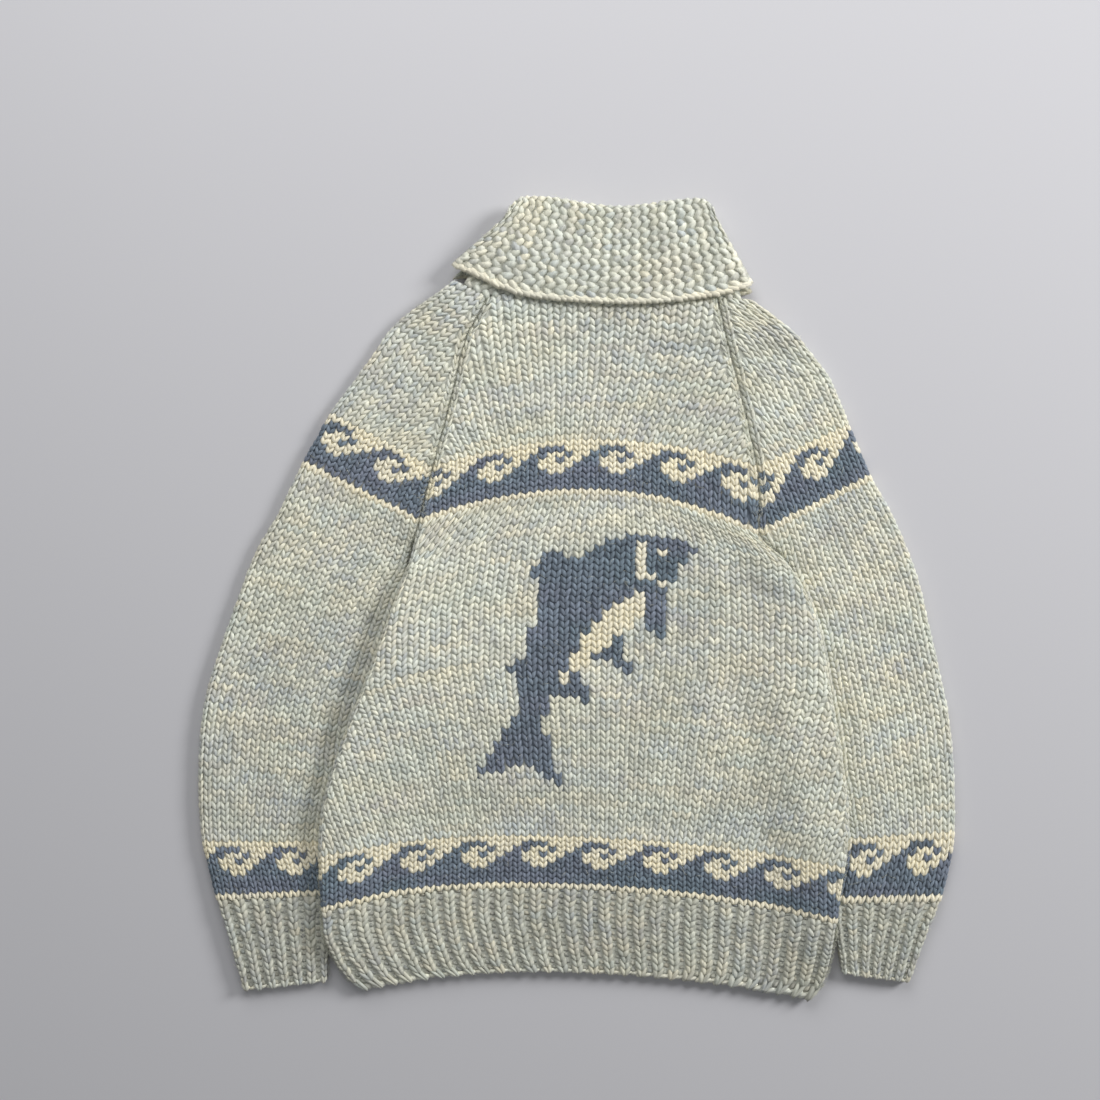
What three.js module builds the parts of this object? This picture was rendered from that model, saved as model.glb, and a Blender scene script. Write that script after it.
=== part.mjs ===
// A bulky hand-knitted raglan sweater with a folded collar, laid flat on its front with its back up.
//
// Millimetres. X runs across the shoulders, Y towards the collar and Z up from the surface it lies on.
// "Left" is the wearer's left, at -X. Every piece is one wall of knitting. It is described by rows across
// the piece, and each row by rungs: a rung joins a point on the wall's outer face to one on its inner face.
import * as THREE from 'three';

// Driving dimensions
const FABRIC = 5.5; // one layer of knitting
const GAP = 0.3; // clearance at a seam and between layers
const LAYER = FABRIC + GAP; // one layer stacked on another
const TUBE = 2 * FABRIC + GAP; // a sleeve or the body pressed flat
const TUBE_RADIUS = TUBE / 2;
const HALF_GAP = GAP / 2;
const SLEEVE_CLEARANCE = TUBE + GAP; // how far the body's sides are lifted by the sleeves under them
const SLIT_TAPER = 1.5; // the hollow inside a rounded edge runs out over this width

const HEATHER = 0xbec4ba;
const WOOL_ROUGHNESS = 0.95;

const degrees = THREE.MathUtils.degToRad;
const { lerp } = THREE.MathUtils;

/** A table with named columns: one object for each row. */
const tableOf = (names, rows) =>
  rows.map((row) => Object.fromEntries(names.map((name, i) => [name, row[i]])));

// Rows of the body from the neck down. Each runs from the left edge over a crown to the right edge. The
// first nine edges are the raglan seams, and the rest are the sides. "Under" is how far in from the side
// the sleeve lies beneath the body, "sides" is the share of the full lift that it gives, "neck" is how far
// the collar lifts the row, and "round" is 1 where the edge turns over and 0 where it butts on a sleeve.
const bodyColumns = [
  'leftX', 'leftY', 'rightX', 'rightY', 'crownX', 'crownY',
  'leftUnder', 'rightUnder', 'sides', 'neck', 'round',
];
const bodyRows = tableOf(bodyColumns, [
  [-84, 286, 133.5, 286, 25, 296, 0, 0, 0, LAYER, 0],
  [-96, 263, 138, 266, 25, 277, 0, 0, 0, LAYER, 0],
  [-106, 245, 143, 246, 24, 260, 0, 0, 0, 3.2, 0],
  [-114, 213, 150, 221, 23, 235, 0, 0, 0, 0, 0],
  [-121, 184, 157, 193, 21, 208, 0, 0, 0, 0, 0],
  [-129, 153, 165, 160, 18, 179, 0, 0, 0, 0, 0],
  [-137, 125, 172, 126, 15, 151, 0, 0, 0, 0, 0],
  [-144, 98, 174.5, 93, 12, 125, 0, 0, 0, 0, 0],
  [-150.6, 71, 175.3, 59, 8, 99, 0, 0, 0, 0, 0],
  [-158, 38, 198, 36, 4, 68, 0, 0, 0.5, 0, 1],
  [-170, 5, 217, 6, -2, 34, 0, 0, 1, 0, 1],
  [-184, -33, 231, -33, -12, -4, 12, 20, 1, 0, 1],
  [-198, -72, 239, -75, -25, -45, 22, 33, 1, 0, 1],
  [-213, -110, 246, -118, -38, -87, 26, 35, 1, 0, 1],
  [-228, -150, 253, -160, -50, -130, 28, 34, 1, 0, 1],
  [-240, -190, 258, -203, -58, -172, 27, 31, 1, 0, 1],
  [-244.6, -232, 256, -242, -64, -214, 22, 24, 1, 0, 1],
  [-243.5, -270, 250, -280, -64, -250, 16, 14, 1, 0, 1],
  [-242, -296, 247, -307, -60, -275, 11, 6, 1, 0, 1],
]);

// Rows of the hem rib, which carries on from the last row of the body
const ribRows = tableOf(bodyColumns, [
  [-242, -296 - GAP, 247, -307 - GAP, -60, -275 - GAP, 11, 6, 1, 0, 1],
  [-240, -320, 243.5, -330, -56, -301, 7, 0, 0.97, 0, 1],
  [-231, -343, 240, -350, -50, -327, 0, 0, 0.6, 0, 1],
  [-219, -362, 235, -368, -46, -347, 0, 0, 0.2, 0, 1],
  [-207, -372, 226, -381, -44, -354.5, 0, 0, 0, 0, 1],
]);

// Rungs along half a body row, from the edge inwards
const edgeAngles = [0, 30, 60, 90].map(degrees);
const liftRamp = tableOf(['past', 'share'], [[2, 1], [18, 0.84], [40, 0.3], [62, 0]]);
const middleShares = [0.35, 0.68];

// Rows of the sleeves from the neck to the cuff. The first nine inner ends lie on the raglan seam. The
// others lie under the side of the body. The fold along the top of the arm is the outer end.
const sleeveColumns = ['innerX', 'innerY', 'outerX', 'outerY', 'neck', 'round'];
const seamEnds = (side) =>
  bodyRows.slice(0, 9).map((row) => [row[`${side}X`], row[`${side}Y`], row.neck]);
const withSeam = (side, outerEnds) =>
  seamEnds(side).map(([x, y, neck], i) => [x, y, ...outerEnds[i], neck, 0]);

const leftSleeveRows = tableOf(sleeveColumns, [
  ...withSeam('left', [
    [-117, 302], [-134, 289], [-152, 277], [-176, 258], [-198, 227], [-217, 201], [-234.5, 177],
    [-249, 151], [-263, 126],
  ]),
  [-158 - GAP, 38, -284, 82, 0, 1],
  [-163 - GAP, 5, -306, 44, 0, 1],
  [-173, -36, -323.5, -1, 0, 1],
  [-179, -77, -340, -48, 0, 1],
  [-188, -113, -352.5, -88, 0, 1],
  [-201, -150, -359, -131, 0, 1],
  [-213, -190, -360.5, -182, 0, 1],
  [-223, -230, -357.5, -229, 0, 1],
  [-228, -257, -350.5, -258, 0, 1],
  [-231.5, -282, -343.5, -287, 0, 1],
]);
const leftCuffRows = tableOf(sleeveColumns, [
  [-231.5, -282 - GAP, -343.5, -287 - GAP, 0, 1],
  [-234, -318, -332.5, -323, 0, 1],
  [-236.5, -364, -318, -373, 0, 1],
]);
const rightSleeveRows = tableOf(sleeveColumns, [
  ...withSeam('right', [
    [166.7, 283], [185, 270], [208.5, 252], [226, 231], [241, 211], [251, 189], [260, 166],
    [271, 140], [282.6, 113],
  ]),
  [198 + GAP, 36, 298, 86, 0, 1],
  [210 + GAP, 6, 313, 54, 0, 1],
  [213, -38, 326.5, 16, 0, 1],
  [211, -80, 337, -29, 0, 1],
  [212, -116, 346.5, -70, 0, 1],
  [219, -152, 355, -112, 0, 1],
  [227, -192, 360, -165, 0, 1],
  [232.5, -234, 360.5, -226, 0, 1],
  [237, -264, 355, -260, 0, 1],
  [241, -290, 348, -288, 0, 1],
]);
const rightCuffRows = tableOf(sleeveColumns, [
  [241, -290 - GAP, 348, -288 - GAP, 0, 1],
  [245.5, -320, 334, -322, 0, 1],
  [252.5, -357, 318, -365.5, 0, 1],
]);

// Rungs of a sleeve row: in from the seam, over the top, round the fold and back underneath
const armShares = [0.33, 0.67];
const foldAngles = [90, 60, 30, 0, -30, -60, -90].map(degrees);

// Ribs of the collar band from its left end to its right: where each one passes over the fold, where it
// ends on the free edge of the fall, where the stand meets the neckline, how far the fall's end drops, and
// how much further down the lower fall reaches than the upper one.
const collarRibs = tableOf(['foldX', 'foldY', 'fallX', 'fallY', 'standX', 'drop', 'below'], [
  [-66, 367, -117.5, 319, -107, 1, 14],
  [-63, 371, -112, 315.5, -103, 0.4, 8],
  [-59, 375.5, -103, 311.5, -96, 0, 3],
  [-53, 379.5, -91, 306.5, -86, 0, 0],
  [-40, 381, -69, 296, -66, 0, 0],
  [-22, 380, -43, 288.5, -43, 0, 0],
  [0, 376, -14, 285, -15, 0, 0],
  [25, 372.5, 17, 283, 16, 0, 0],
  [50, 372, 48, 282, 48, 0, 0],
  [73, 375, 78, 283, 78, 0, 0],
  [95, 377.5, 105, 286, 104, 0, 0],
  [112, 379, 127, 289, 124, 0, 0],
  [121, 378, 141, 291.5, 135, 0, 0],
  [126, 374, 153, 295, 144, 0, 3],
  [129, 370.5, 161, 298.5, 151, 0.4, 5],
  [131, 367, 166, 303, 156, 1, 8],
]);
const COLLAR_DROP = 9; // how far the upper fall turns down at each end
const COLLAR_RISE = 2.6; // how far the lower fall turns up to meet it
const LOWER_FOLD_SHORT = 3; // the fold on the underside stops this far below the one on top
const standShares = [0, 0.35, 0.7];
const fallShares = [0.3, 0.65, 1];
const turnAngles = [-90, -45, 0, 45, 90].map(degrees);

/** Six times the volume that the triangles enclose: positive when their faces point out. */
function signedVolume(points, triangles) {
  const triple = new THREE.Vector3();
  let sum = 0;
  for (let i = 0; i < triangles.length; i += 3) {
    const [a, b, c] = [0, 1, 2].map((k) => points[triangles[i + k]]);
    sum += a.dot(triple.crossVectors(b, c));
  }
  return sum;
}

/** A closed wall of knitting from rows of rungs, each rung { outer, inner }. */
function wall(name, rows) {
  const rungsPerRow = rows[0].length;
  const points = rows.flatMap((row) => row.flatMap((rung) => [rung.outer, rung.inner]));
  const outer = (i, j) => 2 * (i * rungsPerRow + j);
  const inner = (i, j) => outer(i, j) + 1;
  const triangles = [];
  const quad = (a, b, c, d) => triangles.push(a, b, c, a, c, d);
  const lastRow = rows.length - 1;
  const lastRung = rungsPerRow - 1;
  for (let i = 0; i < lastRow; i += 1) {
    for (let j = 0; j < lastRung; j += 1) {
      quad(outer(i, j), outer(i + 1, j), outer(i + 1, j + 1), outer(i, j + 1));
      quad(inner(i, j), inner(i, j + 1), inner(i + 1, j + 1), inner(i + 1, j));
    }
    quad(outer(i, 0), inner(i, 0), inner(i + 1, 0), outer(i + 1, 0));
    quad(outer(i, lastRung), outer(i + 1, lastRung), inner(i + 1, lastRung), inner(i, lastRung));
  }
  for (let j = 0; j < lastRung; j += 1) {
    quad(outer(0, j), outer(0, j + 1), inner(0, j + 1), inner(0, j));
    quad(outer(lastRow, j), inner(lastRow, j), inner(lastRow, j + 1), outer(lastRow, j + 1));
  }
  if (signedVolume(points, triangles) < 0) triangles.reverse();

  const geometry = new THREE.BufferGeometry().setFromPoints(points);
  geometry.setIndex(triangles);
  geometry.computeVertexNormals();
  const material = new THREE.MeshStandardMaterial({
    color: HEATHER, roughness: WOOL_ROUGHNESS, metalness: 0,
  });
  const mesh = new THREE.Mesh(geometry, material);
  mesh.name = name;
  return mesh;
}

/** A rung at an edge: how far in from the edge its ends lie, and how far from the middle of the tube. */
function edgeRung(angle, round) {
  const square = TUBE_RADIUS * (1 - Math.cos(angle));
  return {
    outerInset: square,
    outerRise: HALF_GAP + FABRIC * lerp(1, Math.sin(angle), round),
    innerInset: lerp(square, FABRIC + SLIT_TAPER * (1 - Math.cos(angle)), round),
    innerRise: HALF_GAP,
  };
}

/** A rung well inside the edges. */
const flatRung = (inset) => ({
  outerInset: inset, innerInset: inset, outerRise: TUBE_RADIUS, innerRise: HALF_GAP,
});

/** The rungs of half a body row, from one edge to just short of the crown. */
function halfRow(row, side, isBack) {
  const edgeX = row[`${side}X`] - Math.sign(row[`${side}X`]) * HALF_GAP * (1 - row.round);
  const edgeY = row[`${side}Y`];
  const reach = row.crownX - edgeX;
  const place = (inset, z) => {
    const x = edgeX + Math.sign(reach) * inset;
    const fromCrown = (x - row.crownX) / reach;
    return new THREE.Vector3(x, row.crownY - (row.crownY - edgeY) * fromCrown ** 2, z);
  };
  const rampStart = Math.max(row[`${side}Under`], TUBE_RADIUS);
  const rampEnd = rampStart + liftRamp.at(-1).past;
  const steps = [
    ...edgeAngles.map((angle) => ({ ...edgeRung(angle, row.round), lifted: 1 })),
    ...liftRamp.map(({ past, share }) => ({ ...flatRung(rampStart + past), lifted: share })),
    ...middleShares.map((share) => ({ ...flatRung(lerp(rampEnd, Math.abs(reach), share)), lifted: 0 })),
  ];
  const up = isBack ? 1 : -1;
  return steps.map((step) => {
    const middle = row.neck + TUBE_RADIUS + SLEEVE_CLEARANCE * row.sides * step.lifted;
    return {
      outer: place(step.outerInset, middle + up * step.outerRise),
      inner: place(step.innerInset, middle + up * step.innerRise),
    };
  });
}

/** A back or front piece of the body. */
function bodyPiece(name, rows, isBack) {
  const up = isBack ? 1 : -1;
  return wall(name, rows.map((row) => {
    const middle = row.neck + TUBE_RADIUS;
    const crown = {
      outer: new THREE.Vector3(row.crownX, row.crownY, middle + up * TUBE_RADIUS),
      inner: new THREE.Vector3(row.crownX, row.crownY, middle + up * HALF_GAP),
    };
    return [...halfRow(row, 'left', isBack), crown, ...halfRow(row, 'right', isBack).reverse()];
  }));
}

/** A sleeve or cuff: knitted flat, folded round the arm and seamed along its inner edge. */
function tubePiece(name, rows) {
  return wall(name, rows.map((row) => {
    const seamX = row.innerX + Math.sign(row.innerX) * HALF_GAP * (1 - row.round);
    const seam = new THREE.Vector2(seamX, row.innerY);
    const fold = new THREE.Vector2(row.outerX, row.outerY);
    const width = seam.distanceTo(fold);
    const middle = row.neck + TUBE_RADIUS;
    const place = (fromSeam, rise) => {
      const at = seam.clone().lerp(fold, fromSeam / width);
      return new THREE.Vector3(at.x, at.y, middle + rise);
    };
    const layer = (up) => [
      ...edgeAngles.map((angle) => edgeRung(angle, row.round)),
      ...armShares.map((share) => flatRung(lerp(TUBE_RADIUS, width - TUBE_RADIUS, share))),
    ].map((step) => ({
      outer: place(step.outerInset, up * step.outerRise),
      inner: place(step.innerInset, up * step.innerRise),
    }));
    const turn = foldAngles.map((angle) => ({
      outer: place(width - TUBE_RADIUS * (1 - Math.cos(angle)), TUBE_RADIUS * Math.sin(angle)),
      inner: place(width - FABRIC - SLIT_TAPER * (1 - Math.cos(angle)), HALF_GAP * Math.sin(angle)),
    }));
    return [...layer(1), ...turn, ...layer(-1).reverse()];
  }));
}

/** Where the neckline lies in plan: over the left sleeve, the body and the right sleeve. */
function necklineAt(x) {
  const neck = bodyRows[0];
  const along = (sleeve) =>
    lerp(sleeve.innerY, sleeve.outerY, (x - sleeve.innerX) / (sleeve.outerX - sleeve.innerX));
  if (x < neck.leftX) return along(leftSleeveRows[0]);
  if (x > neck.rightX) return along(rightSleeveRows[0]);
  const edgeX = x < neck.crownX ? neck.leftX : neck.rightX;
  return neck.crownY - (neck.crownY - neck.leftY) * ((x - neck.crownX) / (edgeX - neck.crownX)) ** 2;
}

/**
 * Half of the collar: a band that stands up from the neckline, turns over at the fold and falls back.
 * The upper half lies over the lower one, and each has its fall on the outside.
 */
function collarPiece(name, isUpper) {
  const up = isUpper ? 1 : -1;
  const middle = (isUpper ? 2 * LAYER + FABRIC : FABRIC) + HALF_GAP; // between the stand and the fall
  const shorten = isUpper ? 0 : LOWER_FOLD_SHORT;
  const turned = isUpper ? COLLAR_DROP : COLLAR_RISE;
  const foldOf = (rib) => new THREE.Vector2(rib.foldX, rib.foldY - shorten - TUBE_RADIUS);
  const rung = (at, farZ, nearZ) => ({
    outer: new THREE.Vector3(at.x, at.y, farZ),
    inner: new THREE.Vector3(at.x, at.y, nearZ),
  });
  const stand = standShares.map((share) => collarRibs.map((rib) => {
    const foot = new THREE.Vector2(rib.standX, necklineAt(rib.standX) + GAP + HALF_GAP);
    return rung(foot.lerp(foldOf(rib), share), middle - up * TUBE_RADIUS, middle - up * HALF_GAP);
  }));
  const turn = turnAngles.map((angle) => collarRibs.map((rib) => {
    const { x, y } = foldOf(rib);
    const along = (radius) =>
      new THREE.Vector3(x, y + radius * Math.cos(angle), middle + up * radius * Math.sin(angle));
    return { outer: along(TUBE_RADIUS), inner: along(HALF_GAP) };
  }));
  const fall = fallShares.map((share) => collarRibs.map((rib) => {
    const reach = isUpper ? 0 : rib.below;
    const at = foldOf(rib).lerp(new THREE.Vector2(rib.fallX, rib.fallY - reach), share);
    const sunk = up * turned * rib.drop * share;
    return rung(at, middle + up * TUBE_RADIUS - sunk, middle + up * HALF_GAP - sunk);
  }));
  return wall(name, [...stand, ...turn, ...fall]);
}

const sweater = new THREE.Group();
sweater.add(
  bodyPiece('back_panel', bodyRows, true),
  bodyPiece('front_panel', bodyRows, false),
  bodyPiece('hem_rib_back', ribRows, true),
  bodyPiece('hem_rib_front', ribRows, false),
  tubePiece('sleeve_left', leftSleeveRows),
  tubePiece('sleeve_right', rightSleeveRows),
  tubePiece('cuff_left', leftCuffRows),
  tubePiece('cuff_right', rightCuffRows),
  collarPiece('collar_back', true),
  collarPiece('collar_front', false),
);

export default sweater;
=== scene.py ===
"""A bulky hand-knitted raglan sweater, laid flat on its front with its back up, as a Blender add-on.

Tables and shapes are in millimetres and the meshes in metres. X runs across the shoulders, Y towards the
collar and Z up from the floor. "Left" is the wearer's left, at -X. Each knitted piece is a thin smooth
shell, and every stitch is a strand of yarn raised on it. A place on a piece is given in stitches: its
course, counted down from the neck, its wale, counted across, and its rise above the middle of the tube.
"""
import math

import bpy
import numpy as np
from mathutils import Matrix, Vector


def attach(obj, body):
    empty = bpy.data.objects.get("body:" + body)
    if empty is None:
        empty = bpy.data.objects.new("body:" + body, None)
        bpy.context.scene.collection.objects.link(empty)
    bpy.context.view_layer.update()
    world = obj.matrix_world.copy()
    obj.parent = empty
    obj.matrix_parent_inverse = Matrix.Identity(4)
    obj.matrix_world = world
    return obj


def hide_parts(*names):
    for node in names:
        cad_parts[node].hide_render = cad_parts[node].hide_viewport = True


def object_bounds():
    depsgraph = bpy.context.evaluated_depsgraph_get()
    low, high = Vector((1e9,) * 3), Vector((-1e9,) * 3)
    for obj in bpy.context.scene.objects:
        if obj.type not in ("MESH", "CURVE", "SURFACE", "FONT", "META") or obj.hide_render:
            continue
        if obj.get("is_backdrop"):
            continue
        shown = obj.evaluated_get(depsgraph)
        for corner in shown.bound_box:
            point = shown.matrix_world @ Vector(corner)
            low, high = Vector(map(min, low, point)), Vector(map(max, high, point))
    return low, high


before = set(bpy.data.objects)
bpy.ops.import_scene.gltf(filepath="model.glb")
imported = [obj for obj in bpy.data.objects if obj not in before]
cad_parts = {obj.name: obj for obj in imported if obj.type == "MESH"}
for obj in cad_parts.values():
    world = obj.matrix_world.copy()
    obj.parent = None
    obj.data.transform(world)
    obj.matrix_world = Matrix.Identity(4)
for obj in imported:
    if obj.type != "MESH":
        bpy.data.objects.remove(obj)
CAD_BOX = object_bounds()

bl_info = {
    "name": "Hand-knitted sweater",
    "version": (1, 0, 0),
    "blender": (4, 5, 0),
    "location": "3D View > Sidebar > Sweater",
    "description": "Knits a bulky raglan sweater, piece by piece and stitch by stitch",
    "category": "Add Mesh",
}

MM = 0.001

# Driving sizes, as in the solids
FABRIC = 5.5  # one layer of knitting
GAP = 0.3  # clearance at a seam and between layers
LAYER = FABRIC + GAP
TUBE = 2 * FABRIC + GAP  # a sleeve or the body pressed flat
TUBE_RADIUS = TUBE / 2
SLEEVE_CLEARANCE = TUBE + GAP  # how far the body's sides are lifted by the sleeves under them
QUARTER_TURN = TUBE_RADIUS * math.pi / 2  # the cloth in a quarter of a turned edge
TURN_EXTRA = QUARTER_TURN - TUBE_RADIUS  # what a turned edge takes up beyond its width in plan
FURTHEST_TURN = 1.75  # radians: how far a stitch may follow the cloth round an edge
LIFT_RUN = 60  # over this width the lifted side comes down to the middle
SEAM_DIP = 2.0  # how far the cloth sinks along a raglan seam
SEAM_DIP_WIDTH = 3.6
FLOOR_CLEARANCE = 0.05
SEAM_WALE = 8.2  # the wale along a raglan seam
SHELL_RISE = 3.6  # the shell's outer face above the middle of the tube
SHELL_WALL = 2.3
EDGE_PLAY = 0.7  # how far a stitch may pass the end of its course
EDGE_MARGIN = 0.06  # a stitch's middle keeps this share of a wale off a turned edge

TOP, UNDER = 1, -1


def table_of(names, rows):
    """A table with named columns: an array for each name."""
    return dict(zip(names.split(), np.array(rows, float).T))


# Rows of the body from the neck down. Each runs from the left edge over a crown to the right edge. "Under"
# is how far in from the side the sleeve lies beneath the body, "sides" is the share of the full lift that
# it gives, "neck" is how far the collar lifts the row, and "round" is 1 where the edge turns over.
BODY_COLUMNS = "leftX leftY rightX rightY crownX crownY leftUnder rightUnder sides neck round"
BODY_ROWS = table_of(BODY_COLUMNS, [
    [-84, 286, 133.5, 286, 25, 296, 0, 0, 0, LAYER, 0],
    [-96, 263, 138, 266, 25, 277, 0, 0, 0, LAYER, 0],
    [-106, 245, 143, 246, 24, 260, 0, 0, 0, 3.2, 0],
    [-114, 213, 150, 221, 23, 235, 0, 0, 0, 0, 0],
    [-121, 184, 157, 193, 21, 208, 0, 0, 0, 0, 0],
    [-129, 153, 165, 160, 18, 179, 0, 0, 0, 0, 0],
    [-137, 125, 172, 126, 15, 151, 0, 0, 0, 0, 0],
    [-144, 98, 174.5, 93, 12, 125, 0, 0, 0, 0, 0],
    [-150.6, 71, 175.3, 59, 8, 99, 0, 0, 0, 0, 0],
    [-158, 38, 198, 36, 4, 68, 0, 0, 0.5, 0, 1],
    [-170, 5, 217, 6, -2, 34, 0, 0, 1, 0, 1],
    [-184, -33, 231, -33, -12, -4, 12, 20, 1, 0, 1],
    [-198, -72, 239, -75, -25, -45, 22, 33, 1, 0, 1],
    [-213, -110, 246, -118, -38, -87, 26, 35, 1, 0, 1],
    [-228, -150, 253, -160, -50, -130, 28, 34, 1, 0, 1],
    [-240, -190, 258, -203, -58, -172, 27, 31, 1, 0, 1],
    [-244.6, -232, 256, -242, -64, -214, 22, 24, 1, 0, 1],
    [-243.5, -270, 250, -280, -64, -250, 16, 14, 1, 0, 1],
    [-242, -296, 247, -307, -60, -275, 11, 6, 1, 0, 1],
])
RIB_ROWS = table_of(BODY_COLUMNS, [
    [-242, -296 - GAP, 247, -307 - GAP, -60, -275 - GAP, 11, 6, 1, 0, 1],
    [-240, -320, 243.5, -330, -56, -301, 7, 0, 0.97, 0, 1],
    [-231, -343, 240, -350, -50, -327, 0, 0, 0.6, 0, 1],
    [-219, -362, 235, -368, -46, -347, 0, 0, 0.2, 0, 1],
    [-207, -372, 226, -381, -44, -354.5, 0, 0, 0, 0, 1],
])

# Rows of the sleeves from the neck to the cuff. The first nine inner ends lie on the raglan seam, and the
# others under the side of the body. The fold along the top of the arm is the outer end.
SLEEVE_COLUMNS = "innerX innerY outerX outerY neck round"


def sleeve_rows(side, outer_ends, lower_rows):
    """A sleeve's rows: the outer ends beside the raglan seam, and then the rows below it."""
    seam = zip(BODY_ROWS[side + "X"], BODY_ROWS[side + "Y"], BODY_ROWS["neck"])
    upper = [[x, y, *outer, neck, 0] for (x, y, neck), outer in zip(seam, outer_ends)]
    return table_of(SLEEVE_COLUMNS, upper + [[*row, 0, 1] for row in lower_rows])


LEFT_SLEEVE_ROWS = sleeve_rows("left", [
    [-117, 302], [-134, 289], [-152, 277], [-176, 258], [-198, 227], [-217, 201], [-234.5, 177],
    [-249, 151], [-263, 126],
], [
    [-158 - GAP, 38, -284, 82], [-163 - GAP, 5, -306, 44], [-173, -36, -323.5, -1], [-179, -77, -340, -48],
    [-188, -113, -352.5, -88], [-201, -150, -359, -131], [-213, -190, -360.5, -182],
    [-223, -230, -357.5, -229], [-228, -257, -350.5, -258], [-231.5, -282, -343.5, -287],
])
RIGHT_SLEEVE_ROWS = sleeve_rows("right", [
    [166.7, 283], [185, 270], [208.5, 252], [226, 231], [241, 211], [251, 189], [260, 166],
    [271, 140], [282.6, 113],
], [
    [198 + GAP, 36, 298, 86], [210 + GAP, 6, 313, 54], [213, -38, 326.5, 16], [211, -80, 337, -29],
    [212, -116, 346.5, -70], [219, -152, 355, -112], [227, -192, 360, -165], [232.5, -234, 360.5, -226],
    [237, -264, 355, -260], [241, -290, 348, -288],
])
LEFT_CUFF_ROWS = table_of(SLEEVE_COLUMNS, [
    [-231.5, -282 - GAP, -343.5, -287 - GAP, 0, 1],
    [-234, -318, -332.5, -323, 0, 1],
    [-236.5, -364, -318, -373, 0, 1],
])
RIGHT_CUFF_ROWS = table_of(SLEEVE_COLUMNS, [
    [241, -290 - GAP, 348, -288 - GAP, 0, 1],
    [245.5, -320, 334, -322, 0, 1],
    [252.5, -357, 318, -365.5, 0, 1],
])

# Ribs of the collar band from its left end to its right, as in the solids
COLLAR_COLUMNS = "foldX foldY fallX fallY standX drop below"
COLLAR_RIBS = table_of(COLLAR_COLUMNS, [
    [-66, 367, -117.5, 319, -107, 1, 14],
    [-63, 371, -112, 315.5, -103, 0.4, 8],
    [-59, 375.5, -103, 311.5, -96, 0, 3],
    [-53, 379.5, -91, 306.5, -86, 0, 0],
    [-40, 381, -69, 296, -66, 0, 0],
    [-22, 380, -43, 288.5, -43, 0, 0],
    [0, 376, -14, 285, -15, 0, 0],
    [25, 372.5, 17, 283, 16, 0, 0],
    [50, 372, 48, 282, 48, 0, 0],
    [73, 375, 78, 283, 78, 0, 0],
    [95, 377.5, 105, 286, 104, 0, 0],
    [112, 379, 127, 289, 124, 0, 0],
    [121, 378, 141, 291.5, 135, 0, 0],
    [126, 374, 153, 295, 144, 0, 3],
    [129, 370.5, 161, 298.5, 151, 0.4, 5],
    [131, 367, 166, 303, 156, 1, 8],
])
COLLAR_DROP = 9  # how far the upper fall turns down at each end
COLLAR_RISE = 2.6  # how far the lower fall turns up to meet it
LOWER_FOLD_SHORT = 3  # the fold on the underside stops this far below the one on top

# Wales of the body: where their middle one lies and how far apart they are, by the height of the crown.
# The bands, knitted with two yarns, draw in, and the plain cloth between them spreads.
BODY_WALES = table_of("height middle pitch", [
    [-275, 5.5, 8.25], [-224, 5.5, 8.25], [-190, 5, 8.7], [-140, 4, 9.2], [-90, 3, 9.8],
    [-60, 3, 10.2], [0, 4, 10.2], [60, 8, 9.8], [99, 13.4, 8.3], [151, 13.4, 8.3], [179, 17, 9.3],
    [208, 21, 10.2], [235, 23, 11], [260, 24, 11.5], [296, 25, 12],
])
# Wales of the sleeves, by row: how far apart they are, counted from the fold
SLEEVE_WALES = table_of("place pitch", [
    [0, 9.6], [4.5, 9.2], [6, 8.0], [8, 8.0], [9.5, 8.8], [14.5, 8.8], [16, 7.8], [18, 7.7],
])

# Zones of courses, from the neck down: the row of the table that each ends at, and its number of courses
BODY_ZONES = ((6, 24), (8, 10), (16.3, 54), (18, 10))
LEFT_ZONES = ((6, 26), (8, 10), (16.05, 58), (18, 10))
RIGHT_ZONES = ((6, 24), (8, 10), (15.9, 56), (18, 10))
RIB_COURSES = 14
HEM_PAIRS = 30  # pairs of one knit and one purl wale
CUFF_PAIRS = 14  # all round
COLLAR_RIDGES = 27
COLLAR_COURSES = 19  # from the free edge of the fall over the fold to the neckline
BEAD_STEP = 0.56  # one bead along a ridge, in courses

HEATHER, CREAM, SLATE = 0, 1, 2
YARN_NAMES = (HEATHER, "heather"), (CREAM, "cream"), (SLATE, "slate")
PLY_CONTRAST = 0.1, 0.05, 0.08  # how much the two plies of each yarn differ

# The waves: C is cream, S is slate
WAVE_CHART = (
    "CCCCCCC",
    "CSSSCCC",
    "SSCCSCC",
    "SCCSCCS",
    "SCCCCSS",
    "SSCCSSS",
    "SSSSSSS",
    "SSSSSSS",
    "SSSSSSS",
    "CCCCCCC",
)
WAVE_YARNS = np.array([[CREAM if stitch == "C" else SLATE for stitch in line] for line in WAVE_CHART])

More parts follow.
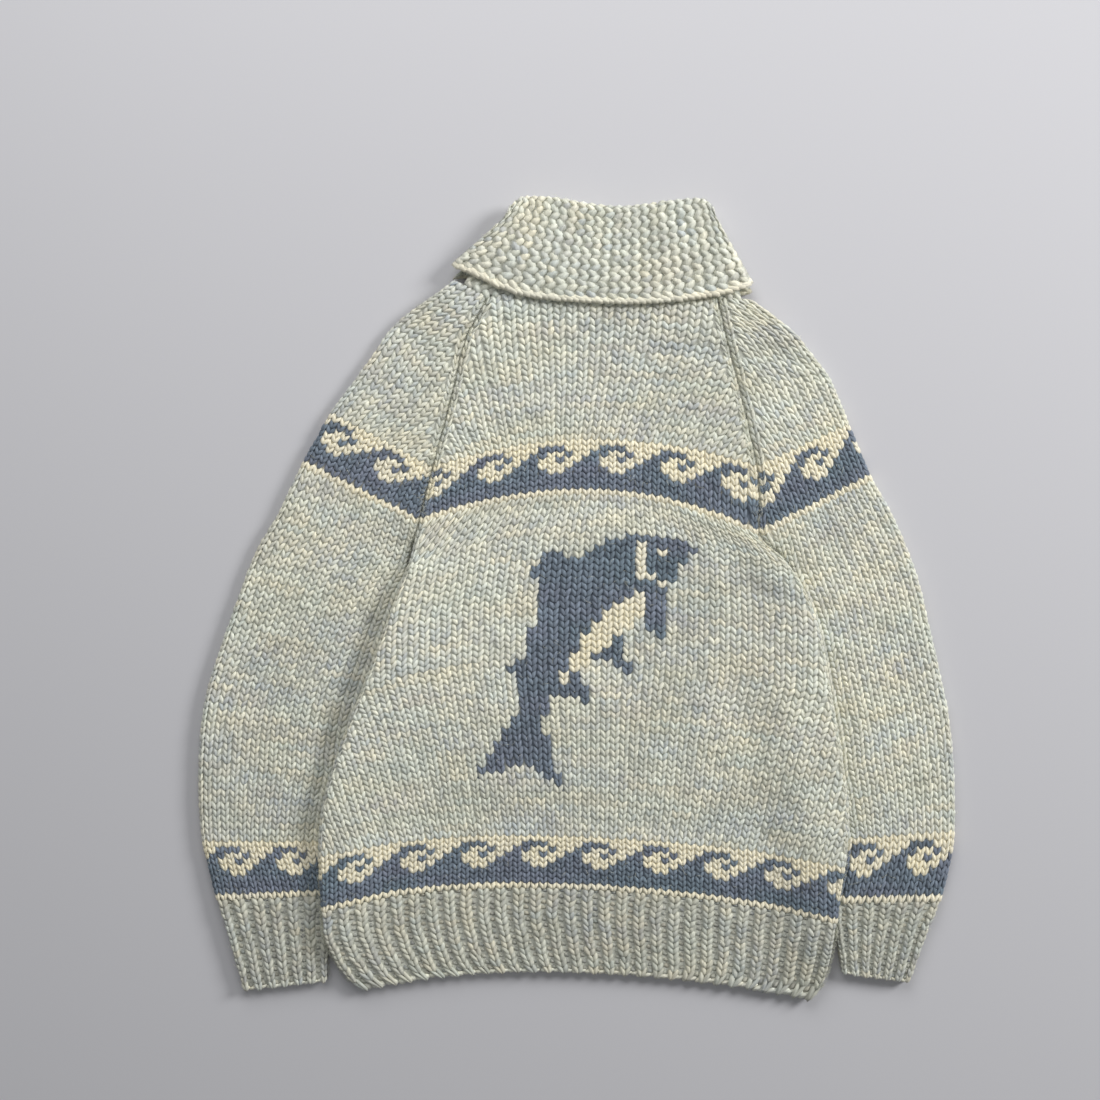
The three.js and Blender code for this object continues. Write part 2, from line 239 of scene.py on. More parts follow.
# Soft creases of the upper layers: a line from one end to the other, half its width, its height, and the
# share of it that the body has too. The last ones are the hollows of the sleeves beside the body.
CREASES = table_of("x0 y0 x1 y1 width height body", [
    [-120, 60, -150, -60, 16, -1.2, 1],
    [-95, 30, -128, -110, 20, 0.9, 1],
    [150, 40, 190, -40, 15, -1.1, 1],
    [120, 75, 168, -70, 19, 0.8, 1],
    [-60, 178, 70, 186, 14, 0.7, 1],
    [-100, 84, 120, 88, 9, -0.9, 1],
    [-150, -205, 180, -222, 10, -0.8, 1],
    [-40, -120, 60, -150, 24, 0.7, 1],
    [60, -60, 110, -190, 22, -0.6, 1],
    [-20, 230, -60, 130, 18, -0.5, 1],
    [70, 240, 110, 150, 17, -0.5, 1],
    [-164, -4, -196, -84, 14, 2.6, 1],
    [-204, -104, -229, -200, 13, 2.2, 1],
    [214, -30, 236, -130, 13, 1.2, 1],
    [-300, 40, -335, -110, 15, -0.8, 0],
    [-255, 90, -290, -40, 17, 0.9, 0],
    [-170, 250, -190, 190, 14, -0.9, 0],
    [-150, 200, -205, 130, 12, -0.7, 0],
    [-290, -60, -310, -200, 16, -0.9, 0],
    [265, 40, 300, -60, 16, -1.0, 0],
    [290, -90, 320, -200, 17, -0.9, 0],
    [190, 240, 215, 180, 12, -0.9, 0],
    [250, 130, 225, 60, 12, -0.8, 0],
    [-172, 46, -190, -22, 16, -3.2, 0],
    [-194, -36, -230, -130, 18, -4.2, 0],
    [-236, -146, -256, -240, 15, -3.0, 0],
    [206, 36, 236, -30, 10, -2.0, 0],
    [241, -60, 258, -150, 11, -2.2, 0],
    [262, -170, 264, -240, 10, -1.6, 0],
])

# A leaping salmon of textbook proportions, for the middle of the back: its line from the nose over the back
# to the tail, how wide it is on each side of that line, and its fins
FISH_LINE = np.array([[112, 50], [-22, 16], [-46, -124]], float)  # the ends and the pull of one curve
FISH_WIDTHS = table_of("share back belly", [
    [0, 3, 4], [0.04, 12, 11], [0.1, 23, 20], [0.18, 32, 30], [0.3, 39, 40], [0.42, 40, 43],
    [0.56, 36, 38], [0.7, 27, 28], [0.84, 17, 17], [0.94, 12, 12], [1, 14, 14],
])
FISH_FINS = [np.array(corners, float) for corners in (
    [(6, 38), (-22, 49), (-42, 34), (-36, -4), (-8, 18)],  # on the back
    [(-44, -50), (-68, -64), (-50, -82)],  # the small one behind it
    [(82, 6), (86, -40), (56, -12)],  # behind the gills
    [(40, -24), (54, -70), (16, -52)],  # under the belly
    [(2, -54), (14, -100), (-16, -86)],  # before the tail
    [(-33, -112), (-12, -180), (-50, -154), (-96, -168), (-60, -110)],  # the tail
)]

SEED = 7


# ---------------------------------------------------------------------------------------------------------
# Reading the tables
# ---------------------------------------------------------------------------------------------------------

def smooth_read(column, place):
    """A column read between its rows, on a smooth curve through its values."""
    last = len(column) - 1
    place = np.clip(place, -0.3, last + 0.3)
    low = np.clip(np.floor(place).astype(int), 0, last - 1)
    share = place - low
    start, end = column[low], column[low + 1]
    into = np.where(low > 0, (end - column[np.maximum(low - 1, 0)]) / 2, end - start)
    out = np.where(low + 1 < last, (column[np.minimum(low + 2, last)] - start) / 2, end - start)
    square, cube = share ** 2, share ** 3
    return (
        (2 * cube - 3 * square + 1) * start + (cube - 2 * square + share) * into
        + (3 * square - 2 * cube) * end + (cube - square) * out
    )


def read_row(rows, place):
    """Every column of a table, read at one place or at many."""
    row = {name: smooth_read(column, place) for name, column in rows.items()}
    for name in ("round", "sides"):
        if name in row:
            row[name] = np.clip(row[name], 0, 1)
    if "neck" in row:
        row["neck"] = np.maximum(row["neck"], 0)
    return row


def smoothstep(share):
    """A share between 0 and 1, eased at both ends."""
    share = np.clip(share, 0, 1)
    return share * share * (3 - 2 * share)


def course_places(distance, zones):
    """Where each course starts, in rows of the table, evenly spaced in distance within each zone."""
    fine = np.linspace(0, zones[-1][0], 600)
    far = distance(fine)
    places, start = [0.0], 0.0
    for end, count in zones:
        from_distance, to_distance = np.interp([start, end], fine, far)
        steps = np.linspace(from_distance, to_distance, count + 1)[1:]
        places.extend(np.interp(steps, far, fine))
        start = end
    return np.array(places)


def creased(x, y, is_body):
    """The height that the soft creases give the upper layers."""
    height = np.zeros(np.broadcast(x, y).shape)
    for x0, y0, x1, y1, width, rise, body in zip(*CREASES.values()):
        if is_body and not body:
            continue
        dx, dy = x1 - x0, y1 - y0
        long = math.hypot(dx, dy)
        along = ((x - x0) * dx + (y - y0) * dy) / long ** 2
        aside = ((x - x0) * dy - (y - y0) * dx) / long
        beyond = np.maximum(np.abs(along - 0.5) - 0.5, 0) * long
        height = height + rise * np.exp(-(aside ** 2 + beyond ** 2) / width ** 2)
    return height


# ---------------------------------------------------------------------------------------------------------
# The pieces as surfaces in stitches
# ---------------------------------------------------------------------------------------------------------

class Cloth:
    """A knitted surface, whose points are found from a course and how far along it they lie."""

    def place(self, course):
        """The row of the table at a course, which past the last course goes on at the same step."""
        beyond = np.maximum(course - self.courses, 0) * (self.places[-1] - self.places[-2])
        return np.interp(course, np.arange(len(self.places)), self.places) + beyond

    def at(self, course, wale, rise):
        """The point at a place that is given in stitches."""
        low, high = self.span(course)
        across = np.clip(self.across(course, wale), low - EDGE_PLAY, high + EDGE_PLAY)
        return self.point(course, across, rise)


class Body(Cloth):
    """The back or the front of the body, or of its rib, as a surface."""

    def __init__(self, rows, zones, up):
        self.rows = rows
        self.zones = zones
        self.up = up
        self.starts_under = up == UNDER
        self.places = course_places(self.crown_distance, zones)
        self.courses = len(self.places) - 1
        self.seam_courses = self.courses if rows is BODY_ROWS else 0

    def crown_distance(self, place):
        return self.rows["crownY"][0] - smooth_read(self.rows["crownY"], place)

    def span(self, course):
        """The left and right ends of a course, as if it lay flat."""
        row = read_row(self.rows, self.place(course))
        extra = row["round"] * TURN_EXTRA
        return row["leftX"] - extra, row["rightX"] + extra

    def wale_lines(self, course):
        """Where wale 0 starts on a course, and how wide a wale is."""
        height = smooth_read(self.rows["crownY"], self.place(course))
        return (
            np.interp(height, BODY_WALES["height"], BODY_WALES["middle"]),
            np.interp(height, BODY_WALES["height"], BODY_WALES["pitch"]),
        )

    def across(self, course, wale):
        start, pitch = self.wale_lines(course)
        return start + wale * pitch

    def point(self, course, across, rise):
        """A point of the cloth, from how far along its course it lies."""
        row = read_row(self.rows, self.place(course))
        x, height, lifted, dip = across, rise, 0, 0
        for side, sign in (("left", -1), ("right", 1)):
            over = np.maximum(sign * (across - row[side + "X"]) + TUBE_RADIUS, 0)
            turn = np.clip(over / TUBE_RADIUS, 0, FURTHEST_TURN)
            x = x + sign * row["round"] * (rise * np.sin(turn) - over) * (over > 0)
            height = height - row["round"] * rise * (1 - np.cos(turn))
        for side, sign in (("left", -1), ("right", 1)):
            inset = sign * (row[side + "X"] - x)
            start = np.maximum(row[side + "Under"], TUBE_RADIUS) + 2
            lifted = lifted + 1 - smoothstep((inset - start) / LIFT_RUN)
            dip = dip + SEAM_DIP * (1 - row["round"]) * np.exp(-(inset / SEAM_DIP_WIDTH) ** 2)
        is_left = x < row["crownX"]
        edge_x = np.where(is_left, row["leftX"], row["rightX"])
        edge_y = np.where(is_left, row["leftY"], row["rightY"])
        reach = (x - row["crownX"]) / (edge_x - row["crownX"])
        y = row["crownY"] - (row["crownY"] - edge_y) * reach ** 2
        z = TUBE_RADIUS + row["neck"] + SLEEVE_CLEARANCE * row["sides"] * lifted
        z = z + self.up * (height - dip)
        if self.up == TOP:
            z = z + creased(x, y, True) * np.clip(height / SHELL_RISE, 0, 1)
        return np.stack(np.broadcast_arrays(x, y, z), axis=-1)


class BodyRib(Body):
    """The rib of the hem, whose wales are pairs of one knit and one purl wale."""

    def __init__(self, up):
        super().__init__(RIB_ROWS, ((4, RIB_COURSES),), up)

    def across(self, course, wale):
        low, high = self.span(course)
        return low + (high - low) * wale / HEM_PAIRS


def arm_width(row):
    """How wide a sleeve lies at a row of its table."""
    return np.hypot(row["innerX"] - row["outerX"], row["innerY"] - row["outerY"])


class Sleeve(Cloth):
    """A sleeve or a cuff as a surface: flat above and below, and turned over at the fold."""

    starts_under = True

    def __init__(self, rows, zones):
        self.rows = rows
        self.zones = zones
        self.places = course_places(self.arm_distance, zones)
        self.courses = len(self.places) - 1
        self.seam_courses = zones[0][1] + zones[1][1] + 2 if len(zones) > 1 else 0

    def arm_distance(self, place):
        row = read_row(self.rows, place)
        steps = np.hypot(
            np.diff(row["innerX"] + row["outerX"]), np.diff(row["innerY"] + row["outerY"])
        ) / 2
        return np.concatenate([[0], np.cumsum(steps)])

    def span(self, course):
        """The two ends of a course at the seam, from the fold: minus is underneath."""
        row = read_row(self.rows, self.place(course))
        far = arm_width(row) + TURN_EXTRA * (1 + row["round"])
        return -far, far

    def across(self, course, wale):
        return wale * np.interp(self.place(course), SLEEVE_WALES["place"], SLEEVE_WALES["pitch"])

    def point(self, course, across, rise):
        """A point of the cloth, from how far it lies from the fold."""
        row = read_row(self.rows, self.place(course))
        width = arm_width(row)
        from_fold = np.abs(across)
        angle = np.clip(from_fold / TUBE_RADIUS, 0, math.pi / 2)
        past = from_fold - QUARTER_TURN
        inset = np.where(past < 0, TUBE_RADIUS - rise * np.cos(angle), TUBE_RADIUS + past)
        height = rise * np.sin(angle)
        over = np.maximum(inset - width + TUBE_RADIUS, 0)
        turn = np.clip(over / TUBE_RADIUS, 0, FURTHEST_TURN)
        inset = inset + row["round"] * (rise * np.sin(turn) - over) * (over > 0)
        height = height * (1 - row["round"] * (1 - np.cos(turn)))
        dip = SEAM_DIP * (1 - row["round"]) * np.exp(-((width - inset) / SEAM_DIP_WIDTH) ** 2)
        share = inset / width
        x = row["outerX"] + (row["innerX"] - row["outerX"]) * share
        y = row["outerY"] + (row["innerY"] - row["outerY"]) * share
        z = TUBE_RADIUS + row["neck"] + np.sign(across) * (height - dip)
        z = z + np.where(across > 0, creased(x, y, False) * np.clip(height / SHELL_RISE, 0, 1), 0)
        return np.stack(np.broadcast_arrays(x, y, z), axis=-1)


class Cuff(Sleeve):
    """A cuff, whose wales are pairs of one knit and one purl wale, counted from the fold."""

    def __init__(self, rows):
        super().__init__(rows, ((2, RIB_COURSES),))

    def across(self, course, wale):
        low, high = self.span(course)
        return (high - low) * wale / CUFF_PAIRS


class SeamWale(Cloth):
    """The wale that follows one end of a knitted piece, where it is sewn to the next."""

    def __init__(self, knit, end):
        self.span = knit.span
        self.point = knit.point
        self.end = end

    def across(self, course, inset):
        low, high = self.span(course)
        return low + inset * SEAM_WALE if self.end < 0 else high - inset * SEAM_WALE


def neckline_at(x):
    """Where the neckline lies in plan: over the left sleeve, the body and the right sleeve."""
    left = {name: column[0] for name, column in LEFT_SLEEVE_ROWS.items()}
    right = {name: column[0] for name, column in RIGHT_SLEEVE_ROWS.items()}
    neck = {name: column[0] for name, column in BODY_ROWS.items()}

    def along(end):
        share = (x - end["innerX"]) / (end["outerX"] - end["innerX"])
        return end["innerY"] + (end["outerY"] - end["innerY"]) * share

    edge = np.where(x < neck["crownX"], neck["leftX"], neck["rightX"])
    reach = (x - neck["crownX"]) / (edge - neck["crownX"])
    middle = neck["crownY"] - (neck["crownY"] - neck["leftY"]) * reach ** 2
    return np.where(x < neck["leftX"], along(left), np.where(x > neck["rightX"], along(right), middle))


class Collar:
    """Half of the collar. Its courses count from the free edge of the fall, over the fold, to the neckline,
    and its wales are the ridges, from the left end to the right."""

    def __init__(self, up):
        self.up = up
        self.starts_under = up == UNDER
        self.courses = COLLAR_COURSES
        self.middle = (2 * LAYER + FABRIC if up == TOP else FABRIC) + GAP / 2
        self.short = 0 if up == TOP else LOWER_FOLD_SHORT
        self.turned = COLLAR_DROP if up == TOP else COLLAR_RISE
        self.reach = 0 if up == TOP else 1
        steps = [np.hypot(np.diff(COLLAR_RIBS[end + "X"]), np.diff(COLLAR_RIBS[end + "Y"]))
                 for end in ("fold", "fall")]
        self.spread = np.concatenate([[0], np.cumsum(steps[0] + steps[1])])

    def rib(self, wale):
        share = wale / COLLAR_RIDGES * self.spread[-1]
        rib = read_row(COLLAR_RIBS, np.interp(share, self.spread, np.arange(len(self.spread))))
        fold_y = rib["foldY"] - self.short - TUBE_RADIUS
        fall_y = rib["fallY"] - self.reach * rib["below"]
        stand_y = neckline_at(rib["standX"]) + GAP * 1.5
        return rib, fold_y, fall_y, stand_y

    def lengths(self, wale):
        """How long the fall and the stand are, each up to where the fold begins."""
        rib, fold_y, fall_y, stand_y = self.rib(wale)
        return (
            np.hypot(rib["fallX"] - rib["foldX"], fall_y - fold_y),
            np.hypot(rib["standX"] - rib["foldX"], stand_y - fold_y),
        )

    def at(self, course, wale, rise):
        fall, stand = self.lengths(wale)
        return self.point(course / COLLAR_COURSES * (fall + stand + 2 * QUARTER_TURN), wale, rise)

    def point(self, along, wale, rise):
        """A point of the cloth, from how far it lies from the free edge of the fall."""
        rib, fold_y, fall_y, stand_y = self.rib(wale)
        fall, stand = self.lengths(wale)
        fall_share = np.maximum(fall - along, 0) / fall
        stand_share = np.maximum(along - fall - 2 * QUARTER_TURN, 0) / stand
        angle = math.pi / 2 - np.clip((along - fall) / TUBE_RADIUS, 0, math.pi)
        x = rib["foldX"] + (rib["fallX"] - rib["foldX"]) * fall_share
        x = x + (rib["standX"] - rib["foldX"]) * stand_share
        y = fold_y + (fall_y - fold_y) * fall_share + (stand_y - fold_y) * stand_share
        y = y + rise * np.cos(angle)
        drop = self.turned * np.clip(rib["drop"], 0, 1) * fall_share
        z = self.middle + self.up * (rise * np.sin(angle) - drop)
        return np.stack(np.broadcast_arrays(x, y, z), axis=-1)


# ---------------------------------------------------------------------------------------------------------
# What is knitted in which yarn
# ---------------------------------------------------------------------------------------------------------

def inside(corners, x, y):
    """Whether each point lies inside a closed outline."""
    found = np.zeros(np.shape(x), bool)
    for (x0, y0), (x1, y1) in zip(corners, np.roll(corners, -1, axis=0)):
        crosses = (y0 > y) != (y1 > y)
        found ^= crosses & (x < (x1 - x0) * (y - y0) / (y1 - y0 + 1e-12) + x0)
    return found


def fish_yarn(x, y):
    """The yarn at each point of the fish, or heather outside it."""
    share = np.linspace(0, 1, 240)[:, None]
    nose, pull, tail = FISH_LINE
    line = (1 - share) ** 2 * nose + 2 * share * (1 - share) * pull + share ** 2 * tail
    forward = np.gradient(line, axis=0)
    forward /= np.linalg.norm(forward, axis=1, keepdims=True)
    gap_x, gap_y = x[..., None] - line[:, 0], y[..., None] - line[:, 1]
    nearest = np.argmin(gap_x ** 2 + gap_y ** 2, axis=-1)
    pick = lambda grid: np.take_along_axis(grid, nearest[..., None], axis=-1)[..., 0]
    dx, dy = pick(gap_x), pick(gap_y)
    to_back = forward[nearest, 1] * dx - forward[nearest, 0] * dy > 0
    at = share[nearest, 0]
    aside = np.where(to_back, 1, -1) * np.hypot(dx, dy)
    back = np.interp(at, FISH_WIDTHS["share"], FISH_WIDTHS["back"])
    belly = np.interp(at, FISH_WIDTHS["share"], FISH_WIDTHS["belly"])
    body = (aside < back) & (aside > -belly)
    fins = np.any([inside(corners, x, y) for corners in FISH_FINS], axis=0)
    eye = np.hypot((at - 0.1) * 300, aside - 5) < 5.5
    gill = (np.abs(at - 0.21 + (aside / 90) ** 2) < 0.018) & (np.abs(aside) < 24)
    under = (at > 0.25) & (at < 0.86) & (aside < -14 - 9 * np.abs(at - 0.5))
    pale = body & (eye | gill | under)
    return np.where(pale, CREAM, np.where(body | fins, SLATE, HEATHER))


def banded(course, column, start):
    """The yarn of each stitch from the wave band that starts at a course, heather elsewhere."""
    line = np.floor(course).astype(int) - start
    repeat = np.floor(column).astype(int) % len(WAVE_CHART[0])
    chart = WAVE_YARNS[np.clip(line, 0, len(WAVE_CHART) - 1), repeat]
    return np.where((line >= 0) & (line < len(WAVE_CHART)), chart, HEATHER)


def body_yarn(knit, course, wale, has_fish=True):
    """The yarn of each stitch of the back or the front."""
    chest, hem = knit.zones[0][1], knit.courses - len(WAVE_CHART)
    yarn = banded(course, wale, chest)
    yarn = np.where(yarn == HEATHER, banded(course, wale + 1, hem), yarn)
    if not has_fish:
        return yarn
    plain = (course > chest + len(WAVE_CHART)) & (course < hem)
    points = knit.at(course, wale, 0 * wale)
    return np.where(plain, fish_yarn(points[..., 0], points[..., 1]), yarn)


def sleeve_yarn(knit, course, wale, columns):
    """The yarn of each stitch of a sleeve. columns gives the chart's column for a wale in each band."""
    chest, cuff = knit.zones[0][1], knit.courses - len(WAVE_CHART)
    yarn = banded(course, columns[0](wale), chest)
    return np.where(yarn == HEATHER, banded(course, columns[1](wale), cuff), yarn)


LEFT_COLUMNS = (lambda wale: wale, lambda wale: wale - 1)
RIGHT_COLUMNS = (lambda wale: 2 - wale, lambda wale: 7 - wale)


# ---------------------------------------------------------------------------------------------------------
# Yarn colours
# ---------------------------------------------------------------------------------------------------------

def linear(colour):
    """A colour on the screen as light."""
    colour = np.array(colour, float)
    return np.where(colour <= 0.04045, colour / 12.92, ((colour + 0.055) / 1.055) ** 2.4)


def patchy(random, across, down):
    """Smooth random values between 0 and 1, one step apart."""
    side = 97
    lattice = random.random_sample((side, side))
    i, j = np.floor(across).astype(int), np.floor(down).astype(int)
    u, v = smoothstep(across - i), smoothstep(down - j)
    corner = lambda di, dj: lattice[(i + di) % side, (j + dj) % side]
    return (
        (corner(0, 0) * (1 - u) + corner(1, 0) * u) * (1 - v)
        + (corner(0, 1) * (1 - u) + corner(1, 1) * u) * v
    )


def dyed(random, yarn, course, wale, yarns, legs):
    """A colour for each leg of each stitch. Handspun yarn changes along its length, so along a course."""
    course = course[:, None] + np.zeros(legs)
    wale = wale[:, None] + np.arange(legs) / legs
    run = patchy(random, wale / 1.6, course + 0.5)
    patch = patchy(random, wale / 9 + 11, course / 9 + 5)
    own = random.random_sample(np.shape(course))
    tone = 0.28 * run + 0.5 * own + 0.26 * patch - 0.02
    hue = patchy(random, wale / 4.3 + 40, course / 2.9)[..., None]
    share = smoothstep(tone)[..., None]
    if yarn == HEATHER:
        dark = yarns["blue_grey"] * (1 - hue) + yarns["green_grey"] * hue
        warmth = patchy(random, wale / 2.7 + 70, course / 1.3)[..., None] - 0.5
        tint = 1 + warmth * np.array([0.1, 0, -0.12])
        return (dark * (1 - share) + yarns["oatmeal"] * share) * tint
    if yarn == CREAM:
        return yarns["cream"] * (0.9 + 0.16 * share) * (1 + (hue - 0.5) * np.array([0.03, 0, -0.1]))
    return yarns["slate"] * (0.72 + 0.56 * share) * (1 + (hue - 0.5) * np.array([0.14, -0.04, 0.03]))


# ---------------------------------------------------------------------------------------------------------
# Meshes
# ---------------------------------------------------------------------------------------------------------

class Strand:
    """A closed length of yarn in stitch coordinates: its vertices, and its faces as triangles.

    Its line runs through stations of (wale, course, rise, thickness). Both ends are points. Its section
    is flattened where it lies against the cloth."""

    def __init__(self, stations, sides, wide, high, runs_across=False):
        stations = np.array(stations, float)
        rings = stations[1:-1]
        angles = (np.arange(sides) / sides + 0.25) * 2 * math.pi
        cosine, sine = np.cos(angles), np.sin(angles)
        ring_points = []
        for wale, course, rise, thick in rings:
            aside = wide * thick * cosine
            up = rise + high * thick * np.maximum(sine, -0.7)
            if runs_across:
                ring_points.append(np.stack([np.full(sides, wale), course + aside, up], axis=-1))
            else:
                ring_points.append(np.stack([wale + aside, np.full(sides, course), up], axis=-1))
        first, last = stations[0, :3], stations[-1, :3]
        self.points = np.concatenate([first[None], np.concatenate(ring_points), last[None]])
        end = len(self.points) - 1
        faces = []
        for k in range(sides):
            m = (k + 1) % sides
            faces.append((0, 1 + k, 1 + m))
            faces.append((end, end - sides + m, end - sides + k))
            for ring in range(len(rings) - 1):
                a, b = 1 + ring * sides + k, 1 + ring * sides + m
                faces.extend([(a, a + sides, b + sides), (a, b + sides, b)])
        self.faces = np.array(faces)
        round_share = (np.arange(sides) / sides + 0.5) % 1
        along = np.linspace(0, 1, len(stations))
        uv = [[along[0], 0.5]]
        for share in along[1:-1]:
            uv.extend([share, v] for v in round_share)
        uv.append([along[-1], 0.5])
        self.uv = np.array(uv)

    def mirrored(self):
        """The same strand on the other side of its wale."""
        other = object.__new__(Strand)
        other.points = self.points * [-1, 1, 1]
        other.faces = self.faces[:, ::-1]
        other.uv = self.uv + [3.3, 0]
        return other


def joined(*strands):
    """Several strands as one shape."""
    whole = object.__new__(Strand)
    starts = np.cumsum([0] + [len(strand.points) for strand in strands])
    whole.points = np.concatenate([strand.points for strand in strands])
    whole.faces = np.concatenate([strand.faces + start for strand, start in zip(strands, starts)])
    whole.uv = np.concatenate([strand.uv for strand in strands])
    return whole


def knit_stitch(sides, fine=True):
    """One V of stocking stitch: two plump legs that lean apart towards the top."""
    stations = [
        (0.03, 0.86, 0.1, 0), (0.12, 0.55, 0.42, 0.86), (0.245, 0.02, 0.3, 1.02),
        (0.315, -0.46, -0.35, 0.84), (0.335, -0.8, -1.2, 0),
    ]
    if not fine:
        stations = [stations[0], (0.15, 0.4, 0.35, 0.95), (0.3, -0.35, -0.15, 0.95), stations[-1]]
    leg = Strand(stations, sides, wide=0.236, high=1.68)
    return joined(leg, leg.mirrored())


def rib_stitch(sides):
    """One V of a rib's knit wale, which stands proud and is narrower than its pair."""
    leg = Strand([
        (0.02, 0.9, 0.4, 0), (0.09, 0.55, 0.75, 0.9), (0.165, 0.0, 0.65, 1.05), (0.205, -0.5, 0.0, 0.85),
        (0.21, -0.85, -0.8, 0),
    ], sides, wide=0.155, high=1.9)
    return joined(leg, leg.mirrored())


def purl_bump(sides):
    """The purl wale between two knit ones: a short strand across the hollow."""
    return Strand([
        (0.26, 0.05, -2.4, 0), (0.37, -0.1, -1.1, 0.9), (0.5, -0.2, -0.6, 1), (0.63, -0.1, -1.1, 0.9),
        (0.74, 0.05, -2.4, 0),
    ], sides, wide=0.42, high=1.5, runs_across=True)


def garter_bead(sides, lean):
    """One plump bead of a garter ridge, leaning one way or the other."""
    return Strand([
        (0.2 * lean, 0.58, -1.0, 0), (0.14 * lean, 0.32, 0.3, 0.85), (0.0, 0.0, 0.7, 1.08),
        (-0.14 * lean, -0.32, 0.2, 0.9), (-0.2 * lean, -0.6, -1.2, 0),
    ], sides, wide=0.42, high=1.75)


def edge_strand(sides, length, wide, high):
    """A short slanted strand of a twisted edge."""
    return Strand([
        (-0.9 * length, 0.2, -1.1, 0), (-0.45 * length, 0.1, 0.1, 0.9), (0, 0, 0.4, 1),
        (0.45 * length, -0.1, 0.1, 0.9), (0.9 * length, -0.2, -1.1, 0),
    ], sides, wide=wide / 4, high=high, runs_across=True)


def mesh_object(name, points, faces, material, colours=None, uv=None):
    """A smooth mesh in metres from points in millimetres, with its faces pointing outwards."""
    corners = points[faces]
    volume = np.einsum("ij,ij->i", corners[:, 0], np.cross(corners[:, 1], corners[:, 2])).sum()
    if volume < 0:
        faces = faces[:, ::-1]
    count = len(faces)
    mesh = bpy.data.meshes.new(name)
    mesh.vertices.add(len(points))
    mesh.vertices.foreach_set("co", (points * MM).astype(np.float32).ravel())
    mesh.loops.add(3 * count)
    mesh.loops.foreach_set("vertex_index", faces.astype(np.int32).ravel())
    mesh.polygons.add(count)
    mesh.polygons.foreach_set("loop_start", np.arange(0, 3 * count, 3, dtype=np.int32))
    mesh.polygons.foreach_set("use_smooth", np.ones(count, bool))
    mesh.update(calc_edges=True)
    if colours is not None:
        paint(mesh, colours)
    if uv is not None:
        layer = mesh.uv_layers.new(name="along_yarn")
        layer.data.foreach_set("uv", uv[faces.ravel()].astype(np.float32).ravel())
    mesh.materials.append(material)
    piece = bpy.data.objects.new(name, mesh)
    bpy.context.collection.objects.link(piece)
    return piece


def paint(mesh, colours):
    """A colour for each vertex, in the attribute that the wool reads."""
    attribute = mesh.color_attributes.new("yarn", "FLOAT_COLOR", "POINT")
    rgba = np.ones((len(colours), 4), np.float32)
    rgba[:, :3] = colours
    attribute.data.foreach_set("color", rgba.ravel())


def lattice(knit):
    """Every whole stitch of a piece, as its course and its wale."""
    courses, wales = [], []
    for course in range(knit.courses):
        low, high = knit.span(np.array(course + 0.5))
        found = np.arange(-80, 81)
        middle = knit.across(np.array(course + 0.5), found + 0.5)
        pitch = middle[1] - middle[0]
        keep_off = SEAM_WALE - 0.15 * pitch if course < knit.seam_courses else EDGE_MARGIN * pitch
        found = found[(middle > low + keep_off) & (middle < high - keep_off)]
        courses.append(np.full(len(found), course))
        wales.append(found)
    return np.concatenate(courses).astype(float), np.concatenate(wales).astype(float)


def shell(name, grid, colours):
    """A thin closed shell from a grid of points on its outer face."""
    rows, columns = grid.shape[:2]
    index = np.arange(rows * columns).reshape(rows, columns)
    corners = index[:-1, :-1], index[1:, :-1], index[1:, 1:], index[:-1, 1:]
    quads = np.stack(corners, axis=-1).reshape(-1, 4)
    points = grid.reshape(-1, 3)
    mesh = bpy.data.meshes.new(name)
    mesh.from_pydata((points * MM).tolist(), [], quads.tolist())
    mesh.shade_smooth()
    paint(mesh, colours)
    mesh.materials.append(ground_wool())
    piece = bpy.data.objects.new(name, mesh)
    bpy.context.collection.objects.link(piece)
    bpy.ops.object.select_all(action="DESELECT")
    piece.select_set(True)
    bpy.context.view_layer.objects.active = piece
    wall = piece.modifiers.new("Cloth", "SOLIDIFY")
    wall.thickness = SHELL_WALL * MM
    wall.offset = -1
    bpy.ops.object.modifier_apply(modifier=wall.name)
    return piece


def finished(piece, slot, *nodes):
    """A piece in its place on the sweater."""
    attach(piece, "root")
    if nodes:
        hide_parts(*nodes)
    return piece


# ---------------------------------------------------------------------------------------------------------
# Materials
# ---------------------------------------------------------------------------------------------------------

def new_material(name, roughness, specular):
    """A material with nodes, and its shader."""
    material = bpy.data.materials.new(name)
    material.use_nodes = True
    shader = material.node_tree.nodes["Principled BSDF"]
    shader.inputs["Roughness"].default_value = roughness
    shader.inputs["Specular IOR Level"].default_value = specular
    return material, shader


def add_bump(material, shader, height, strength, distance):
    """Raises a surface by a height that other nodes give."""
    bump = material.node_tree.nodes.new("ShaderNodeBump")
    bump.inputs["Strength"].default_value = strength
    bump.inputs["Distance"].default_value = distance
    material.node_tree.links.new(height, bump.inputs["Height"])
    material.node_tree.links.new(bump.outputs["Normal"], shader.inputs["Normal"])


